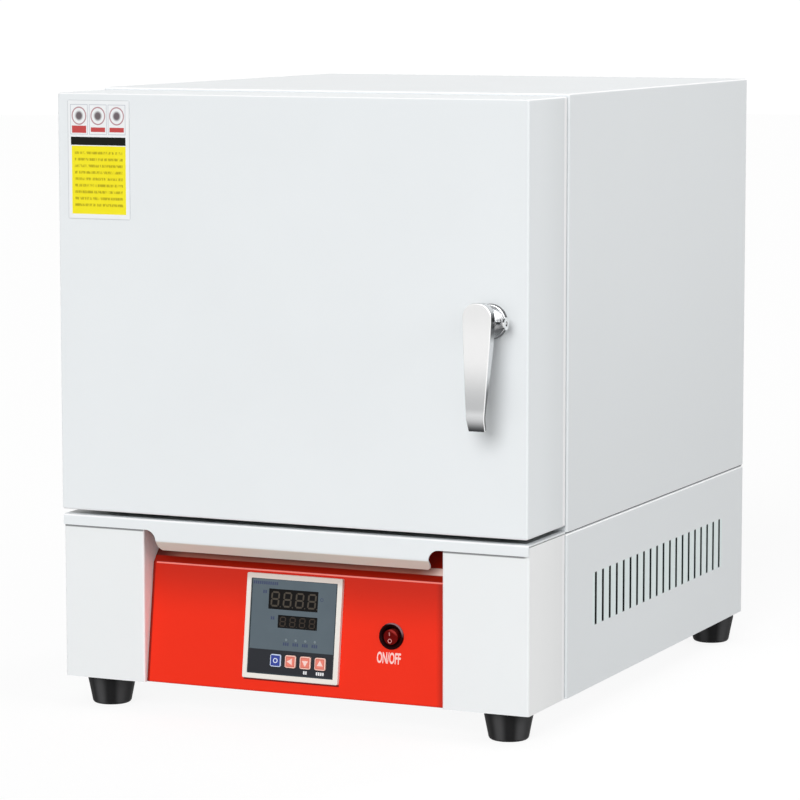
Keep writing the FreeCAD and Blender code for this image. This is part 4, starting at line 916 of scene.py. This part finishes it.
# Studio: white floor and background, a broad lamp from the front and above, a faint one from behind and a
# soft one from the right. The floor shows whiter than its own colour, so that only its shadow darkens it.
floor_albedo = 0.44
floor_whiteness = 0.84
viewer_white = 1.03
ambient_level = 0.42


def white_for_viewer(tree, shader, whiteness, rays):
    """Mixes white light into a shader, only for what the camera, reflections or glass see of it."""
    path = tree.nodes.new("ShaderNodeLightPath")
    seen = path.outputs["Is Camera Ray"]
    for ray in rays:
        either = tree.nodes.new("ShaderNodeMath")
        either.operation = "MAXIMUM"
        tree.links.new(seen, either.inputs[0])
        tree.links.new(path.outputs[ray], either.inputs[1])
        seen = either.outputs[0]
    share = tree.nodes.new("ShaderNodeMath")
    share.operation = "MULTIPLY"
    share.inputs[1].default_value = whiteness
    tree.links.new(seen, share.inputs[0])
    white = tree.nodes.new("ShaderNodeEmission")
    white.inputs["Color"].default_value = (1.0, 1.0, 1.0, 1.0)
    white.inputs["Strength"].default_value = viewer_white
    mixed = tree.nodes.new("ShaderNodeMixShader")
    tree.links.new(share.outputs[0], mixed.inputs[0])
    tree.links.new(shader, mixed.inputs[1])
    tree.links.new(white.outputs[0], mixed.inputs[2])
    return mixed.outputs[0]


def studio_floor():
    """A wide round floor, white to the camera but for the furnace's soft shadow."""
    work = bmesh.new()
    bmesh.ops.create_circle(work, cap_ends=True, segments=96, radius=14.0)
    mesh = bpy.data.meshes.new("studio_floor")
    work.to_mesh(mesh)
    work.free()
    floor = bpy.data.objects.new("studio_floor", mesh)
    scene.collection.objects.link(floor)
    card = Finish("studio_floor", (0.8, 0.8, 0.8), 0.9, specular_ior_level=0.0)
    viewed = card.node("ShaderNodeLightPath", out="Is Camera Ray")
    card.feed("Base Color", card.mix(viewed, (floor_albedo,) * 3, (1.0, 1.0, 1.0)))
    seen = white_for_viewer(card.tree, card.shader.outputs[0], floor_whiteness, ("Is Glossy Ray",))
    card.tree.links.new(seen, card.tree.nodes["Material Output"].inputs["Surface"])
    paint(floor, card)


def studio_world():
    """Even soft light, and a white background for the camera, for reflections and through glass."""
    world = bpy.data.worlds.new("studio")
    scene.world = world
    world.use_nodes = True
    tree = world.node_tree
    light = tree.nodes["Background"]
    light.inputs["Color"].default_value = (1.0, 1.0, 1.0, 1.0)
    light.inputs["Strength"].default_value = ambient_level
    seen = white_for_viewer(tree, light.outputs[0], 1.0, ("Is Glossy Ray", "Is Transmission Ray"))
    tree.links.new(seen, tree.nodes["World Output"].inputs["Surface"])


def sun(name, towards, level, spread):
    """A far lamp that gives that level of light to a surface facing it."""
    lamp = bpy.data.lights.new(name, "SUN")
    lamp.energy = level * math.pi
    lamp.angle = math.radians(spread)
    holder = bpy.data.objects.new(name, lamp)
    holder.rotation_euler = (-Vector(towards)).to_track_quat("-Z", "Y").to_euler()
    scene.collection.objects.link(holder)


def soft_box(name, place, aim, level, side):
    """A square lamp that gives that level of light at its aim."""
    lamp = bpy.data.lights.new(name, "AREA")
    lamp.shape = "SQUARE"
    lamp.size = side
    beam = Vector(aim) - Vector(place)
    lamp.energy = level * math.pi**2 * beam.length_squared
    holder = bpy.data.objects.new(name, lamp)
    holder.location = place
    holder.rotation_euler = beam.to_track_quat("-Z", "Y").to_euler()
    scene.collection.objects.link(holder)


def camera():
    """The photograph's viewpoint: from the right and a little above, with a long lens."""
    lens = bpy.data.cameras.new("camera")
    lens.sensor_width = 36.0
    lens.lens = 159.626
    lens.clip_end = 60.0
    holder = bpy.data.objects.new("camera", lens)
    place = (1.3849, -3.12292, 0.67675)
    yaw, pitch, roll = 0.42223635, 0.11946791, -0.00063704
    level = math.cos(pitch)
    ahead = Vector((-math.sin(yaw) * level, math.cos(yaw) * level, -math.sin(pitch)))
    flat = Vector((math.cos(yaw), math.sin(yaw), 0.0))
    upright = flat.cross(ahead)
    right = flat * math.cos(roll) + upright * math.sin(roll)
    up = upright * math.cos(roll) - flat * math.sin(roll)
    turn = Matrix((right, up, -ahead)).transposed().to_4x4()
    holder.matrix_world = Matrix.Translation(place) @ turn
    scene.collection.objects.link(holder)
    scene.camera = holder


studio_floor()
studio_world()
sun("key_lamp", (0.06, -0.9, 0.42), 0.60, 36.0)
sun("rim_lamp", (0.3, 0.85, 0.5), 0.16, 12.0)
soft_box("side_lamp", (2.2, -0.45, 1.0), (0.23, -0.1, 0.4), 0.26, 0.8)
camera()
scene.view_settings.view_transform = "Standard"
